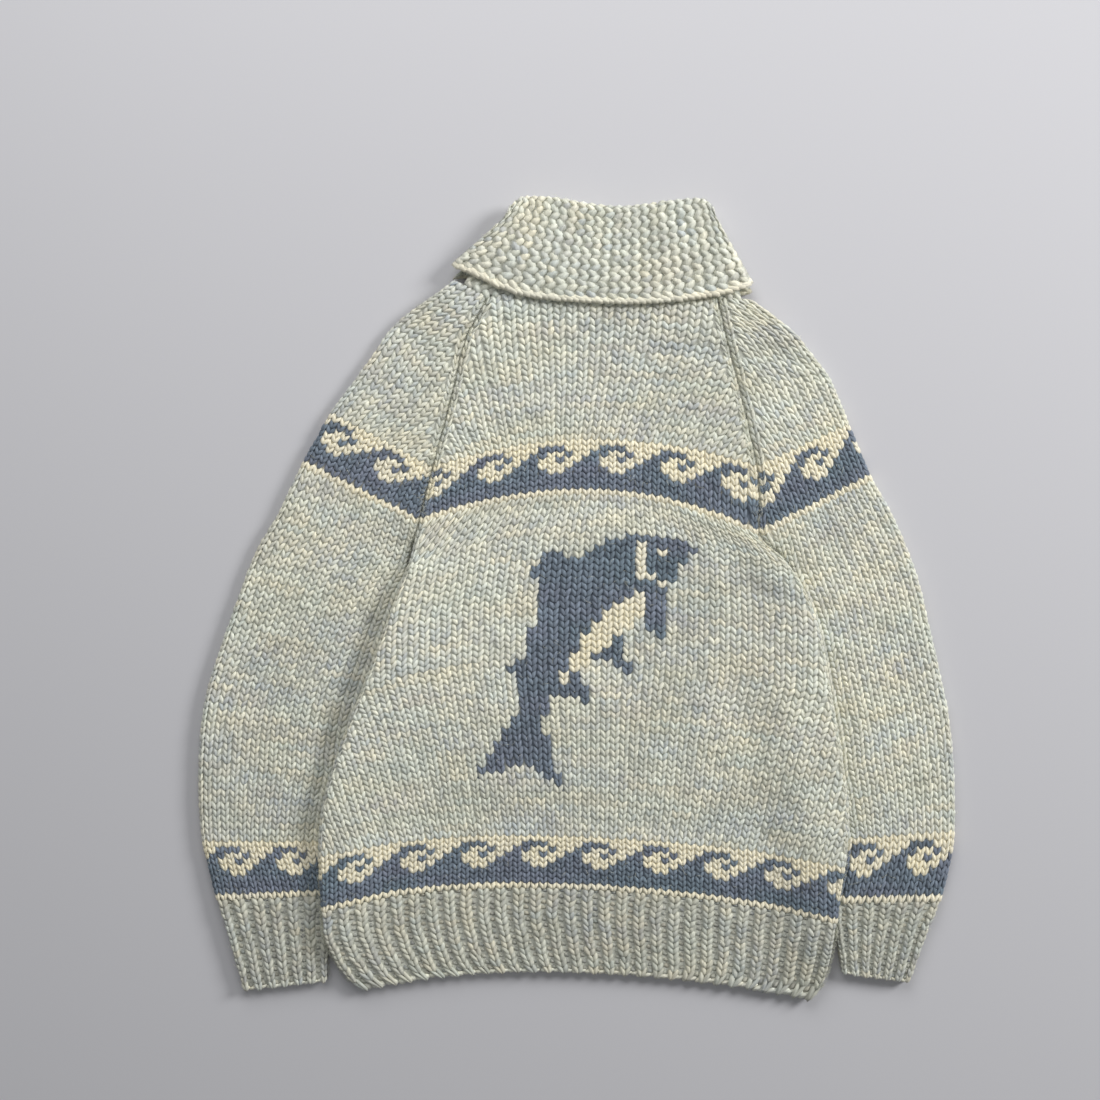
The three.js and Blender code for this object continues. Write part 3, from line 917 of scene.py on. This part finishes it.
def fibre_group():
    """A shader group that turns a yarn's colour into twisted, flecked fibre, with its height."""
    found = bpy.data.node_groups.get("Wool fibre")
    if found:
        return found
    group = bpy.data.node_groups.new("Wool fibre", "ShaderNodeTree")
    inputs = (
        ("Yarn", "NodeSocketColor"), ("Fleck", "NodeSocketColor"), ("Fleck amount", "NodeSocketFloat"),
        ("Contrast", "NodeSocketFloat"),
    )
    for name, kind in inputs:
        group.interface.new_socket(name, in_out="INPUT", socket_type=kind)
    group.interface.new_socket("Colour", in_out="OUTPUT", socket_type="NodeSocketColor")
    group.interface.new_socket("Height", in_out="OUTPUT", socket_type="NodeSocketFloat")
    nodes, links = group.nodes, group.links
    given = nodes.new("NodeGroupInput")
    result = nodes.new("NodeGroupOutput")
    uv = nodes.new("ShaderNodeUVMap")
    uv.uv_map = "along_yarn"

    def fibres(scale, detail, stretch, turn):
        """Noise drawn out along the yarn and turned by its twist."""
        mapping = nodes.new("ShaderNodeMapping")
        mapping.inputs["Scale"].default_value = (stretch, 1, 1)
        mapping.inputs["Rotation"].default_value = (0, 0, turn)
        noise = nodes.new("ShaderNodeTexNoise")
        noise.inputs["Scale"].default_value = scale
        noise.inputs["Detail"].default_value = detail
        links.new(uv.outputs["UV"], mapping.inputs["Vector"])
        links.new(mapping.outputs["Vector"], noise.inputs["Vector"])
        return noise

    def ranged(source, from_low, from_high, to_low, to_high):
        node = nodes.new("ShaderNodeMapRange")
        for socket, value in zip(("From Min", "From Max", "To Min", "To Max"),
                                 (from_low, from_high, to_low, to_high)):
            node.inputs[socket].default_value = value
        links.new(source, node.inputs["Value"])
        return node

    def mixed(blend, factor, first, second):
        node = nodes.new("ShaderNodeMix")
        node.data_type = "RGBA"
        node.blend_type = blend
        for socket, source in ((0, factor), (6, first), (7, second)):
            if isinstance(source, (int, float)):
                node.inputs[socket].default_value = source
            else:
                links.new(source, node.inputs[socket])
        return node.outputs[2]

    streak = fibres(9, 3, 0.22, 0.28)
    patch = fibres(2.6, 2, 0.8, 0.1)
    shade = ranged(streak.outputs["Fac"], 0.3, 0.7, -1, 1)
    lean = nodes.new("ShaderNodeMath")
    lean.operation = "MULTIPLY_ADD"
    links.new(shade.outputs["Result"], lean.inputs[0])
    links.new(given.outputs["Contrast"], lean.inputs[1])
    lean.inputs[2].default_value = 1.0
    grey = nodes.new("ShaderNodeCombineColor")
    for channel in ("Red", "Green", "Blue"):
        links.new(lean.outputs["Value"], grey.inputs[channel])
    fleck = ranged(patch.outputs["Fac"], 0.5, 0.68, 0, 1)
    amount = nodes.new("ShaderNodeMath")
    amount.operation = "MULTIPLY"
    links.new(fleck.outputs["Result"], amount.inputs[0])
    links.new(given.outputs["Fleck amount"], amount.inputs[1])
    flecked = mixed("MIX", amount.outputs["Value"], given.outputs["Yarn"], given.outputs["Fleck"])
    links.new(mixed("MULTIPLY", 1.0, flecked, grey.outputs["Color"]), result.inputs["Colour"])
    links.new(streak.outputs["Fac"], result.inputs["Height"])
    return group


def wool(name, fleck, fleck_amount, contrast, sheen):
    """Handspun wool in the colour that each stitch carries."""
    material = bpy.data.materials.get(name)
    if material:
        return material
    material, shader = new_material(name, 0.92, 0.22)
    nodes, links = material.node_tree.nodes, material.node_tree.links
    shader.inputs["Sheen Weight"].default_value = sheen
    shader.inputs["Sheen Roughness"].default_value = 0.6
    yarn = nodes.new("ShaderNodeVertexColor")
    yarn.layer_name = "yarn"
    fibre = nodes.new("ShaderNodeGroup")
    fibre.node_tree = fibre_group()
    fibre.inputs["Fleck"].default_value = (*linear(fleck), 1)
    fibre.inputs["Fleck amount"].default_value = fleck_amount
    fibre.inputs["Contrast"].default_value = contrast
    links.new(yarn.outputs["Color"], fibre.inputs["Yarn"])
    links.new(fibre.outputs["Colour"], shader.inputs["Base Color"])
    add_bump(material, shader, fibre.outputs["Height"], 0.6, 0.0006)
    return material


def ground_wool():
    """The shaded depth of the cloth between the stitches."""
    material = bpy.data.materials.get("Shaded wool")
    if material:
        return material
    material, shader = new_material("Shaded wool", 0.97, 0.1)
    nodes, links = material.node_tree.nodes, material.node_tree.links
    place = nodes.new("ShaderNodeTexCoord")
    noise = nodes.new("ShaderNodeTexNoise")
    noise.inputs["Scale"].default_value = 420
    noise.inputs["Detail"].default_value = 2
    fade = nodes.new("ShaderNodeMapRange")
    fade.inputs["To Min"].default_value = 0.6
    fade.inputs["To Max"].default_value = 1.4
    yarn = nodes.new("ShaderNodeVertexColor")
    yarn.layer_name = "yarn"
    mix = nodes.new("ShaderNodeMix")
    mix.data_type = "RGBA"
    mix.blend_type = "MULTIPLY"
    mix.inputs[0].default_value = 1
    links.new(place.outputs["Object"], noise.inputs["Vector"])
    links.new(noise.outputs["Fac"], fade.inputs["Value"])
    links.new(yarn.outputs["Color"], mix.inputs[6])
    links.new(fade.outputs["Result"], mix.inputs[7])
    links.new(mix.outputs[2], shader.inputs["Base Color"])
    add_bump(material, shader, noise.outputs["Fac"], 0.7, 0.001)
    return material


def wool_of(yarn):
    """The material of each yarn."""
    if yarn == CREAM:
        return wool("Cream wool", (0.82, 0.80, 0.72), 0.35, 0.13, 0.18)
    if yarn == SLATE:
        return wool("Slate wool", (0.56, 0.62, 0.66), 0.28, 0.26, 0.12)
    return wool("Heather wool", (0.90, 0.89, 0.82), 0.42, 0.15, 0.2)


# ---------------------------------------------------------------------------------------------------------
# What a user would change
# ---------------------------------------------------------------------------------------------------------

def colour_property(name, description, default):
    """A colour that a user would change, as it looks on the screen."""
    return bpy.props.FloatVectorProperty(
        name=name, description=description, default=default, subtype="COLOR_GAMMA", size=3, min=0, max=1,
    )


def power_property(name, description, default):
    """The power of a light."""
    return bpy.props.FloatProperty(
        name=name, description=description, default=default, unit="POWER", min=0, max=200,
    )


class SweaterYarns(bpy.types.PropertyGroup):
    """The colours of the yarns, as they look on the screen."""

    blue_grey: colour_property("Blue grey", "The darker fibre of the heather yarn", (0.725, 0.74, 0.75))
    green_grey: colour_property(
        "Green grey", "The other darker fibre of the heather yarn", (0.77, 0.78, 0.715)
    )
    oatmeal: colour_property("Oatmeal", "The pale fibre of the heather yarn", (0.965, 0.96, 0.885))
    cream: colour_property("Cream", "The cream yarn of the bands", (0.98, 0.95, 0.85))
    slate: colour_property("Slate", "The slate blue yarn of the bands", (0.47, 0.51, 0.56))

    def as_light(self):
        return {name: linear(getattr(self, name)) for name in self.__annotations__}


class SweaterCloth(bpy.types.PropertyGroup):
    """How the cloth is knitted."""

    yarn_height: bpy.props.FloatProperty(
        name="Yarn height", description="Height of a stitch's middle above the middle of the flat tube",
        default=3.95 * MM, unit="LENGTH", min=0.001, max=0.006,
    )
    looseness: bpy.props.FloatProperty(
        name="Looseness", description="How unevenly the stitches are drawn up",
        default=1.0, subtype="FACTOR", min=0, max=3,
    )
    loose_fibres: bpy.props.IntProperty(
        name="Loose fibres", description="How many loose fibres stand off the upper side",
        default=7000, min=0, max=9000,
    )


class SweaterStudio(bpy.types.PropertyGroup):
    """The floor, the light and the camera."""

    floor_colour: colour_property("Floor", "Colour of the floor", (0.815, 0.812, 0.825))
    camera_height: bpy.props.FloatProperty(
        name="Camera height", description="Height of the camera above the floor",
        default=1.463, unit="LENGTH", min=0.5, max=4,
    )
    key_power: power_property("Key light", "Power of the large light from the upper right", 68)
    top_power: power_property("Top light", "Power of the soft light beyond the collar", 16)
    sky: bpy.props.FloatProperty(
        name="Sky", description="Strength of the even light from all round",
        default=0.24, min=0, max=3,
    )


# ---------------------------------------------------------------------------------------------------------
# The pieces
# ---------------------------------------------------------------------------------------------------------

GROUND_PAINTED_SHADE = 0.9, 0.81, 0.72  # painted shade: how much darker the shell is coloured than the heather, cream and slate on it, for the hollows between the stitches
PLAIN_STITCH_DROP = 0.25  # the plainer stitches underneath lie this much closer to the cloth
RIB_SHELL_DROP = 0.6  # a rib's shell lies this far below that of stocking stitch
RIB_DROP = 0.35  # and its stitches this far below the others
RIB_PAINTED_SHADE = 0.78, 0.54  # painted shade: its knit and its purl wales are coloured darker by these factors for the depth of the rib
COLLAR_DROP_IN = 0.3  # the collar's shell and ridges lie this far below the plain ones
COLLAR_GRID = 39, 43  # the shell's points along the courses and along the ridges
FIRST_BEAD = 0.35  # where a ridge's first bead lies, in courses
INNER_BEAD_RISE = 1.7  # beads on the inner face, which shows near the ends alone
END_RIDGES = 8
SELVEDGE_LOOSENESS = 0.6


def ground_colours(yarn, yarns):
    """The shell's colours: its yarns' colours darkened by painted shade, for the hollows under the stitches
    that lie over it.
    """
    heather = (yarns["blue_grey"] + yarns["green_grey"] + yarns["oatmeal"]) / 3
    colours = np.stack([heather, yarns["cream"], yarns["slate"]])
    return (colours * np.array(GROUND_PAINTED_SHADE)[:, None])[yarn]


def cloth_grid(knit, course_step, across_step):
    """A grid of places on a piece, closer together at its turned edges: courses and how far across."""
    courses = np.linspace(0, knit.courses, max(3, round(knit.courses / course_step) + 1))
    low, high = knit.span(courses)
    steps = max(4, round(float((high - low).max()) / across_step))
    edge = [0, 0.25, 0.5, 0.75]
    insets = np.array(edge) * QUARTER_TURN
    shares = np.linspace(0, 1, steps)
    inner = (low + QUARTER_TURN)[:, None] + ((high - low - 2 * QUARTER_TURN)[:, None]) * shares
    across = np.concatenate([low[:, None] + insets, inner, high[:, None] - insets[::-1]], axis=1)
    return courses[:, None] + 0 * across, across


def wales_at(knit, course, across):
    """Which wale each place lies on."""
    start = knit.across(course, 0 * across)
    return (across - start) / (knit.across(course, 0 * across + 1) - start)


class Work:
    """A piece in the making: its yarns, its own random numbers and the stitches on it so far."""

    def __init__(self, context, name, slot):
        cloth = context.scene.sweater_cloth
        self.name = name
        self.slot = slot
        self.yarns = context.scene.sweater_yarns.as_light()
        self.yarn_rise = cloth.yarn_height / MM
        self.looseness = cloth.looseness
        self.random = np.random.RandomState(SEED + sum(map(ord, name)))
        self.stitches = []

    def base(self, knit, points, yarn, node):
        """The shell of the piece. Its grid is turned round where its outer face would face inwards."""
        # painted shade: the shell takes its yarns' colours, darkened for the hollows between the stitches
        colours = ground_colours(yarn, self.yarns)
        column = points.shape[1] // 4
        corner = points[0, column]
        facing = np.cross(points[1, column] - corner, points[0, column + 1] - corner)[2]
        if (facing < 0) != knit.starts_under:
            points, colours = points[:, ::-1], colours[:, ::-1]
        return finished(shell(self.name, points, colours.reshape(-1, 3)), self.slot, node)

    def dye(self, yarn, course, wale, legs):
        """A colour for each leg of each stitch."""
        return dyed(self.random, yarn, course, wale, self.yarns, legs)

    def stamp(self, label, knit, strand, course, wale, rise, colours, yarn=HEATHER, face=1, looseness=None):
        """One mesh of a stitch's strands, repeated at every stitch and bent to the cloth there. colours
        holds one for each leg of each stitch, and face is -1 on the inner side of the cloth."""
        random, stitches = self.random, len(course)
        shift = random.normal(0, 1, (stitches, 4)) * (self.looseness if looseness is None else looseness)
        plump = 1 + 0.07 * shift[:, 2, None]
        side, down, up = strand.points.T
        lean = 0.03 * shift[:, 3, None] * down
        wales = wale[:, None] + 0.5 + side * plump + 0.03 * shift[:, 0, None] + lean
        courses = course[:, None] + 0.5 + down + 0.05 * shift[:, 1, None]
        rises = rise + face * (up * plump + 0.12 * shift[:, 3, None])
        points = knit.at(courses, wales, rises).reshape(-1, 3)
        points[:, 2] = np.maximum(points[:, 2], FLOOR_CLEARANCE)
        per_stitch = len(strand.points)
        faces = (strand.faces[None] + np.arange(stitches)[:, None, None] * per_stitch).reshape(-1, 3)
        own = random.random_sample((stitches, 1, 2)) * [60, 0]
        uv = (strand.uv[None] * [1.4, 1] + own).reshape(-1, 2)
        legs = colours.shape[1]
        leg = np.arange(per_stitch) * legs // per_stitch
        twist = strand.uv[:, 1] + 0.9 * strand.uv[:, 0] + random.random_sample((stitches, legs))[:, leg]
        painted = colours[:, leg] * (1 + PLY_CONTRAST[yarn] * np.cos(2 * math.pi * twist))[..., None]
        piece = mesh_object(
            f"{self.name}_{label}", points, faces, wool_of(yarn), painted.reshape(-1, 3), uv
        )
        self.stitches.append(finished(piece, self.slot))


def knit_piece(context, name, knit, yarn_of, node, fine_from):
    """A stocking stitch piece: its shell, its seam wales, and its stitches in each yarn. The stitches are
    fine from one wale on and plainer underneath."""
    work = Work(context, name, "heather_wool")
    course, across = cloth_grid(knit, 1.6, 9)
    yarn = yarn_of(np.floor(course), wales_at(knit, course, across))
    base = work.base(knit, knit.point(course, across, SHELL_RISE), yarn, node)
    course = np.arange(0.0, knit.seam_courses)
    for end, end_name in ((-1, "low"), (1, "high")):
        seam = SeamWale(knit, end)
        beside = wales_at(knit, course + 0.5, seam.across(course + 0.5, 0.5))
        yarn = yarn_of(course, beside)
        for kind, kind_name in YARN_NAMES:
            mine = yarn == kind
            if mine.any():
                colours = work.dye(kind, course[mine], beside[mine], 2)
                work.stamp(
                    f"{kind_name}_seam_{end_name}", seam, knit_stitch(4), course[mine],
                    0 * course[mine], work.yarn_rise, colours, kind,
                )
    course, wale = lattice(knit)
    yarn = yarn_of(course, wale + 0.5)
    shown = wale >= fine_from
    for label, fine, chosen in (("top", True, shown), ("under", False, ~shown)):
        strand = knit_stitch(5 if fine else 3, fine)
        rise = work.yarn_rise - (0 if fine else PLAIN_STITCH_DROP)
        for kind, kind_name in YARN_NAMES:
            mine = chosen & (yarn == kind)
            if mine.any():
                colours = work.dye(kind, course[mine], wale[mine], 2)
                work.stamp(
                    f"{kind_name}_{label}", knit, strand, course[mine], wale[mine], rise, colours, kind
                )


def rib_piece(context, name, knit, node, pairs):
    """A piece of single rib: its shell, its proud knit wales, the purl wales between them and its edge."""
    work = Work(context, name, "rib_wool")
    course, across = cloth_grid(knit, 1.4, 9)
    points = knit.point(course, across, SHELL_RISE - RIB_SHELL_DROP)
    base = work.base(knit, points, np.full(course.shape, HEATHER), node)
    first = -pairs // 2 if isinstance(knit, Cuff) else 0
    wales, courses = np.meshgrid(np.arange(first, first + pairs), np.arange(knit.courses))
    course, wale = courses.ravel().astype(float), wales.ravel().astype(float)
    rise = work.yarn_rise - RIB_DROP
    stitches = ("knit", rib_stitch(5), 2), ("purl", purl_bump(4), 1)
    # painted shade: the rib's knit and purl stitches are coloured darker for its depth
    for (label, strand, legs), shade in zip(stitches, RIB_PAINTED_SHADE):
        colours = work.dye(HEATHER, course, wale * 2, legs) * shade
        work.stamp(label, knit, strand, course, wale, rise, colours)
    wale = np.arange(first, first + pairs - 0.2, 0.42)
    course = np.full(len(wale), knit.courses - 0.62)
    colours = work.dye(HEATHER, 0 * wale, wale, 1) * 0.6 + work.yarns["oatmeal"] * 0.4
    work.stamp("cast_off", knit, edge_strand(4, 0.42, 1.25, 1.5), course, wale, rise - 0.9, colours)


def collar_piece(context, name, up, node):
    """Half of the collar: its shell, its garter ridges and the twisted strand along its free edge."""
    work = Work(context, name, "collar_wool")
    knit = Collar(up)
    along, over = COLLAR_GRID
    course, wale = np.meshgrid(
        np.linspace(0, COLLAR_COURSES, along), np.linspace(0, COLLAR_RIDGES, over), indexing="ij"
    )
    points = knit.at(course, wale, SHELL_RISE - COLLAR_DROP_IN)
    base = work.base(knit, points, np.full(course.shape, HEATHER), node)
    beads = np.arange(FIRST_BEAD, COLLAR_COURSES + 0.2, BEAD_STEP)
    wales, courses = np.meshgrid(np.arange(COLLAR_RIDGES), beads)
    course, wale = courses.ravel(), wales.ravel().astype(float)
    step = np.round((course - FIRST_BEAD) / BEAD_STEP).astype(int)
    faces = (
        ("outer", 1, 5, work.yarn_rise - COLLAR_DROP_IN, course > -1),
        ("inner", -1, 4, INNER_BEAD_RISE, (wale < END_RIDGES) | (wale > COLLAR_RIDGES - END_RIDGES)),
    )
    for lean, lean_name in ((1, "a"), (-1, "b")):
        for face_name, face, sides, rise, shown in faces:
            mine = (step % 2 == (lean > 0)) & shown
            colours = work.dye(HEATHER, wale[mine], course[mine], 1)
            work.stamp(
                f"{face_name}_{lean_name}", knit, garter_bead(sides, lean), course[mine] - 0.5,
                wale[mine] + 0.1 * lean, rise, colours, face=face,
            )
    wale = np.arange(0, COLLAR_RIDGES - 0.5, 0.55)
    colours = work.dye(HEATHER, 0 * wale, wale, 1) * 0.4 + work.yarns["cream"] * 0.6
    work.stamp(
        "selvedge", knit, edge_strand(5, 0.85, 1.5, 2.1), np.full(len(wale), -0.6), wale,
        work.yarn_rise - 0.7, colours, looseness=SELVEDGE_LOOSENESS,
    )


class SWEATER_OT_body(bpy.types.Operator):
    """Knit the back and the front of the body"""

    bl_idname = "sweater.body"
    bl_label = "Body"

    def execute(self, context):
        back, front = Body(BODY_ROWS, BODY_ZONES, TOP), Body(BODY_ROWS, BODY_ZONES, UNDER)
        knit_piece(
            context, "back", back, lambda course, wale: body_yarn(back, course, wale), "back_panel",
            -math.inf,
        )
        knit_piece(
            context, "front", front, lambda course, wale: body_yarn(front, course, wale, False),
            "front_panel", math.inf,
        )
        return {"FINISHED"}


class SWEATER_OT_hem(bpy.types.Operator):
    """Knit the rib of the hem on to the back and the front"""

    bl_idname = "sweater.hem"
    bl_label = "Hem rib"

    def execute(self, context):
        for name, up, node, under in (
            ("hem_back", TOP, "hem_rib_back", "hem_rib_front"),
            ("hem_front", UNDER, "hem_rib_front", "floor"),
        ):
            rib_piece(context, name, BodyRib(up), node, HEM_PAIRS)
        return {"FINISHED"}


class SWEATER_OT_sleeves(bpy.types.Operator):
    """Knit the two sleeves"""

    bl_idname = "sweater.sleeves"
    bl_label = "Sleeves"

    def execute(self, context):
        for name, node, rows, zones, columns, flat, area in (
            (
                "left_sleeve", "sleeve_left", LEFT_SLEEVE_ROWS, LEFT_ZONES, LEFT_COLUMNS,
                (0.332, 0.619), 0.152,
            ),
            (
                "right_sleeve", "sleeve_right", RIGHT_SLEEVE_ROWS, RIGHT_ZONES, RIGHT_COLUMNS,
                (0.284, 0.603), 0.130,
            ),
        ):
            knit = Sleeve(rows, zones)
            knit_piece(
                context, name, knit,
                lambda course, wale, knit=knit, columns=columns: sleeve_yarn(knit, course, wale, columns),
                node, -1,
            )
        return {"FINISHED"}


class SWEATER_OT_cuffs(bpy.types.Operator):
    """Knit the ribs of the two cuffs"""

    bl_idname = "sweater.cuffs"
    bl_label = "Cuffs"

    def execute(self, context):
        for name, node, rows, flat, area in (
            ("left_cuff", "cuff_left", LEFT_CUFF_ROWS, (0.224, 0.082), 0.0158),
            ("right_cuff", "cuff_right", RIGHT_CUFF_ROWS, (0.214, 0.072), 0.0121),
        ):
            rib_piece(context, name, Cuff(rows), node, CUFF_PAIRS)
        return {"FINISHED"}


class SWEATER_OT_collar(bpy.types.Operator):
    """Knit the two halves of the folded collar"""

    bl_idname = "sweater.collar"
    bl_label = "Collar"

    def execute(self, context):
        for name, up, node, under in (
            ("upper_collar", TOP, "collar_back", "collar_front"),
            ("lower_collar", UNDER, "collar_front", "floor"),
        ):
            collar_piece(context, name, up, node)
        return {"FINISHED"}


FIBRE_RADIUS = 0.13
FIBRE_ROOT = 4.6  # the rise that a loose fibre starts at
FIBRE_TIP = 6  # the least rise of its end, and
FIBRE_TIP_SPREAD = 2.4  # how much more it may have
FIBRE_LEAN = 0.75, 4.2  # how far it leans, in courses and in millimetres across
LONGEST_FIBRE = 14  # a longer one would cross a fold, and is left out


def fibre_ends(knit, count, random):
    """Where the loose fibres of a piece start and end. Half of them stand along its edges, but for the
    collar, where all of them stand on the fall."""
    course = random.random_sample(count) * knit.courses
    if isinstance(knit, Collar):
        place = random.random_sample(count) * COLLAR_RIDGES
        course = course * 0.5
        reach = lambda c, p, r: knit.at(c, np.clip(p, 0, COLLAR_RIDGES), r)
        stretch = 0.1
    else:
        low, high = knit.span(course)
        if isinstance(knit, Sleeve):
            low = low * 0 - 6
        share = random.random_sample(count)
        at_edge = random.random_sample(count) < 0.5
        place = low + (high - low) * np.where(at_edge, np.round(share), share)
        reach = knit.point
        stretch = 1
    away = random.normal(0, 1, (count, 2)) * FIBRE_LEAN
    lift = FIBRE_TIP + FIBRE_TIP_SPREAD * random.random_sample(count)
    start = reach(course, place, FIBRE_ROOT)
    return start, reach(course + away[:, 0], place + away[:, 1] * stretch, lift)


def fibre_prisms(start, end, random, yarns):
    """Thin three-sided fibres of two lengths each, bowed in the middle."""
    count = len(start)
    bow = random.normal(0, 0.9, (count, 3)) * [1, 1, 0.3]
    middle = (start + end) / 2 + bow + [0, 0, 0.5]
    line = end - start
    side = np.cross(line, [0, 0, 1.0]) + 1e-9
    side /= np.linalg.norm(side, axis=1, keepdims=True)
    upward = np.cross(side, line)
    upward /= np.linalg.norm(upward, axis=1, keepdims=True)
    rings = []
    for at, thick in ((start, 1), (middle, 0.9), (end, 0.45)):
        for turn in (0.5, 1.1667, 1.8333):
            angle = turn * math.pi
            across = side * math.cos(angle) + upward * math.sin(angle)
            rings.append(at + FIBRE_RADIUS * thick * across)
    points = np.stack(rings, axis=1).reshape(-1, 3)
    points[:, 2] = np.maximum(points[:, 2], 0.3)
    faces = [(0, 2, 1), (6, 7, 8)]
    for a in (0, 3):
        for k in range(3):
            m = (k + 1) % 3
            faces.extend([(a + k, a + m, a + 3 + m), (a + k, a + 3 + m, a + 3 + k)])
    faces = (np.array(faces)[None] + np.arange(count)[:, None, None] * 9).reshape(-1, 3)
    tone = random.random_sample((count, 1))
    colours = yarns["oatmeal"] * tone + yarns["green_grey"] * (1 - tone)
    return points, faces, np.repeat(colours, 9, axis=0)


class SWEATER_OT_fibres(bpy.types.Operator):
    """Raise loose fibres over the upper side and along the edges"""

    bl_idname = "sweater.fibres"
    bl_label = "Loose fibres"

    def execute(self, context):
        yarns = context.scene.sweater_yarns.as_light()
        random = np.random.RandomState(SEED + 99)
        total = context.scene.sweater_cloth.loose_fibres
        sources = (
            (Body(BODY_ROWS, BODY_ZONES, TOP), 0.38), (BodyRib(TOP), 0.1),
            (Sleeve(LEFT_SLEEVE_ROWS, LEFT_ZONES), 0.2), (Sleeve(RIGHT_SLEEVE_ROWS, RIGHT_ZONES), 0.16),
            (Cuff(LEFT_CUFF_ROWS), 0.03), (Cuff(RIGHT_CUFF_ROWS), 0.03), (Collar(TOP), 0.1),
        )
        ends = [fibre_ends(knit, round(total * share), random) for knit, share in sources]
        start, end = (np.concatenate(side) for side in zip(*ends))
        keep = np.linalg.norm(end - start, axis=1) < LONGEST_FIBRE
        points, faces, colours = fibre_prisms(start[keep], end[keep], random, yarns)
        uv = np.zeros((len(points), 2))
        finished(mesh_object("loose_fibres", points, faces, wool_of(HEATHER), colours, uv), "heather_wool")
        return {"FINISHED"}


class SWEATER_OT_stage(bpy.types.Operator):
    """Set up the floor, the lights and the camera"""

    bl_idname = "sweater.stage"
    bl_label = "Stage"

    def execute(self, context):
        studio = context.scene.sweater_studio
        bpy.ops.object.select_all(action="DESELECT")
        bpy.ops.mesh.primitive_plane_add(size=12, location=(0, 0, 0))
        floor = context.object
        floor.name = "floor"
        floor.data.materials.append(floor_material(studio.floor_colour))
        floor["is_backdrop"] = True
        for name, place, size, power in (
            ("key_light", (2.5, 1.25, 1.5), 1.1, studio.key_power),
            ("top_light", (-0.3, 1.4, 1.2), 1.4, studio.top_power),
        ):
            bpy.ops.object.light_add(type="AREA", location=place)
            lamp = context.object
            lamp.name = name
            lamp.data.shape = "DISK"
            lamp.data.size = size
            lamp.data.energy = power
            point_at(lamp, (0, 0, 0))
        world = bpy.data.worlds.new("Even light")
        world.use_nodes = True
        background = world.node_tree.nodes["Background"]
        background.inputs["Color"].default_value = (0.96, 0.98, 1, 1)
        background.inputs["Strength"].default_value = studio.sky
        context.scene.world = world
        bpy.ops.object.camera_add(location=(-0.0252, 0.0456, studio.camera_height), rotation=(0, 0, 0))
        camera = context.object
        camera.name = "camera"
        camera.data.lens = 50
        camera.data.sensor_width = 36
        camera.data.dof.use_dof = False
        context.scene.camera = camera
        context.scene.view_settings.view_transform = "Standard"
        context.scene.view_settings.look = "None"
        return {"FINISHED"}


def point_at(lamp, target):
    """Turns a light towards a point."""
    away = lamp.location - Vector(target)
    lamp.rotation_euler = away.to_track_quat("Z", "Y").to_euler()


def floor_material(colour):
    """A plain pale floor with a dull finish."""
    material, shader = new_material("Pale floor", 0.85, 0.2)
    shader.inputs["Base Color"].default_value = (*linear(colour), 1)
    return material


class SWEATER_PT_pieces(bpy.types.Panel):
    """The sweater's pieces and settings."""

    bl_idname = "SWEATER_PT_pieces"
    bl_label = "Sweater"
    bl_space_type = "VIEW_3D"
    bl_region_type = "UI"
    bl_category = "Sweater"

    def draw(self, context):
        layout = self.layout
        for setting, _ in SETTINGS:
            group = getattr(context.scene, setting)
            for name in group.__annotations__:
                layout.prop(group, name)
        for operator in OPERATORS:
            layout.operator(operator.bl_idname)


OPERATORS = (
    SWEATER_OT_body, SWEATER_OT_hem, SWEATER_OT_sleeves, SWEATER_OT_cuffs, SWEATER_OT_collar,
    SWEATER_OT_fibres, SWEATER_OT_stage,
)
SETTINGS = (
    ("sweater_yarns", SweaterYarns), ("sweater_cloth", SweaterCloth), ("sweater_studio", SweaterStudio),
)


def register():
    for _, group in SETTINGS:
        bpy.utils.register_class(group)
    for operator in OPERATORS:
        bpy.utils.register_class(operator)
    bpy.utils.register_class(SWEATER_PT_pieces)
    for name, group in SETTINGS:
        setattr(bpy.types.Scene, name, bpy.props.PointerProperty(type=group))


def unregister():
    for name, _ in SETTINGS:
        delattr(bpy.types.Scene, name)
    bpy.utils.unregister_class(SWEATER_PT_pieces)
    for operator in reversed(OPERATORS):
        bpy.utils.unregister_class(operator)
    for _, group in reversed(SETTINGS):
        bpy.utils.unregister_class(group)


def main():
    register()
    bpy.ops.sweater.stage()
    bpy.ops.sweater.body()
    bpy.ops.sweater.hem()
    bpy.ops.sweater.sleeves()
    bpy.ops.sweater.cuffs()
    bpy.ops.sweater.collar()
    bpy.ops.sweater.fibres()
    boxes = {"cad": CAD_BOX, "visual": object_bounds()}
    {name: [list(corner) for corner in box] for name, box in boxes.items()}


if __name__ == "__main__":
    main()
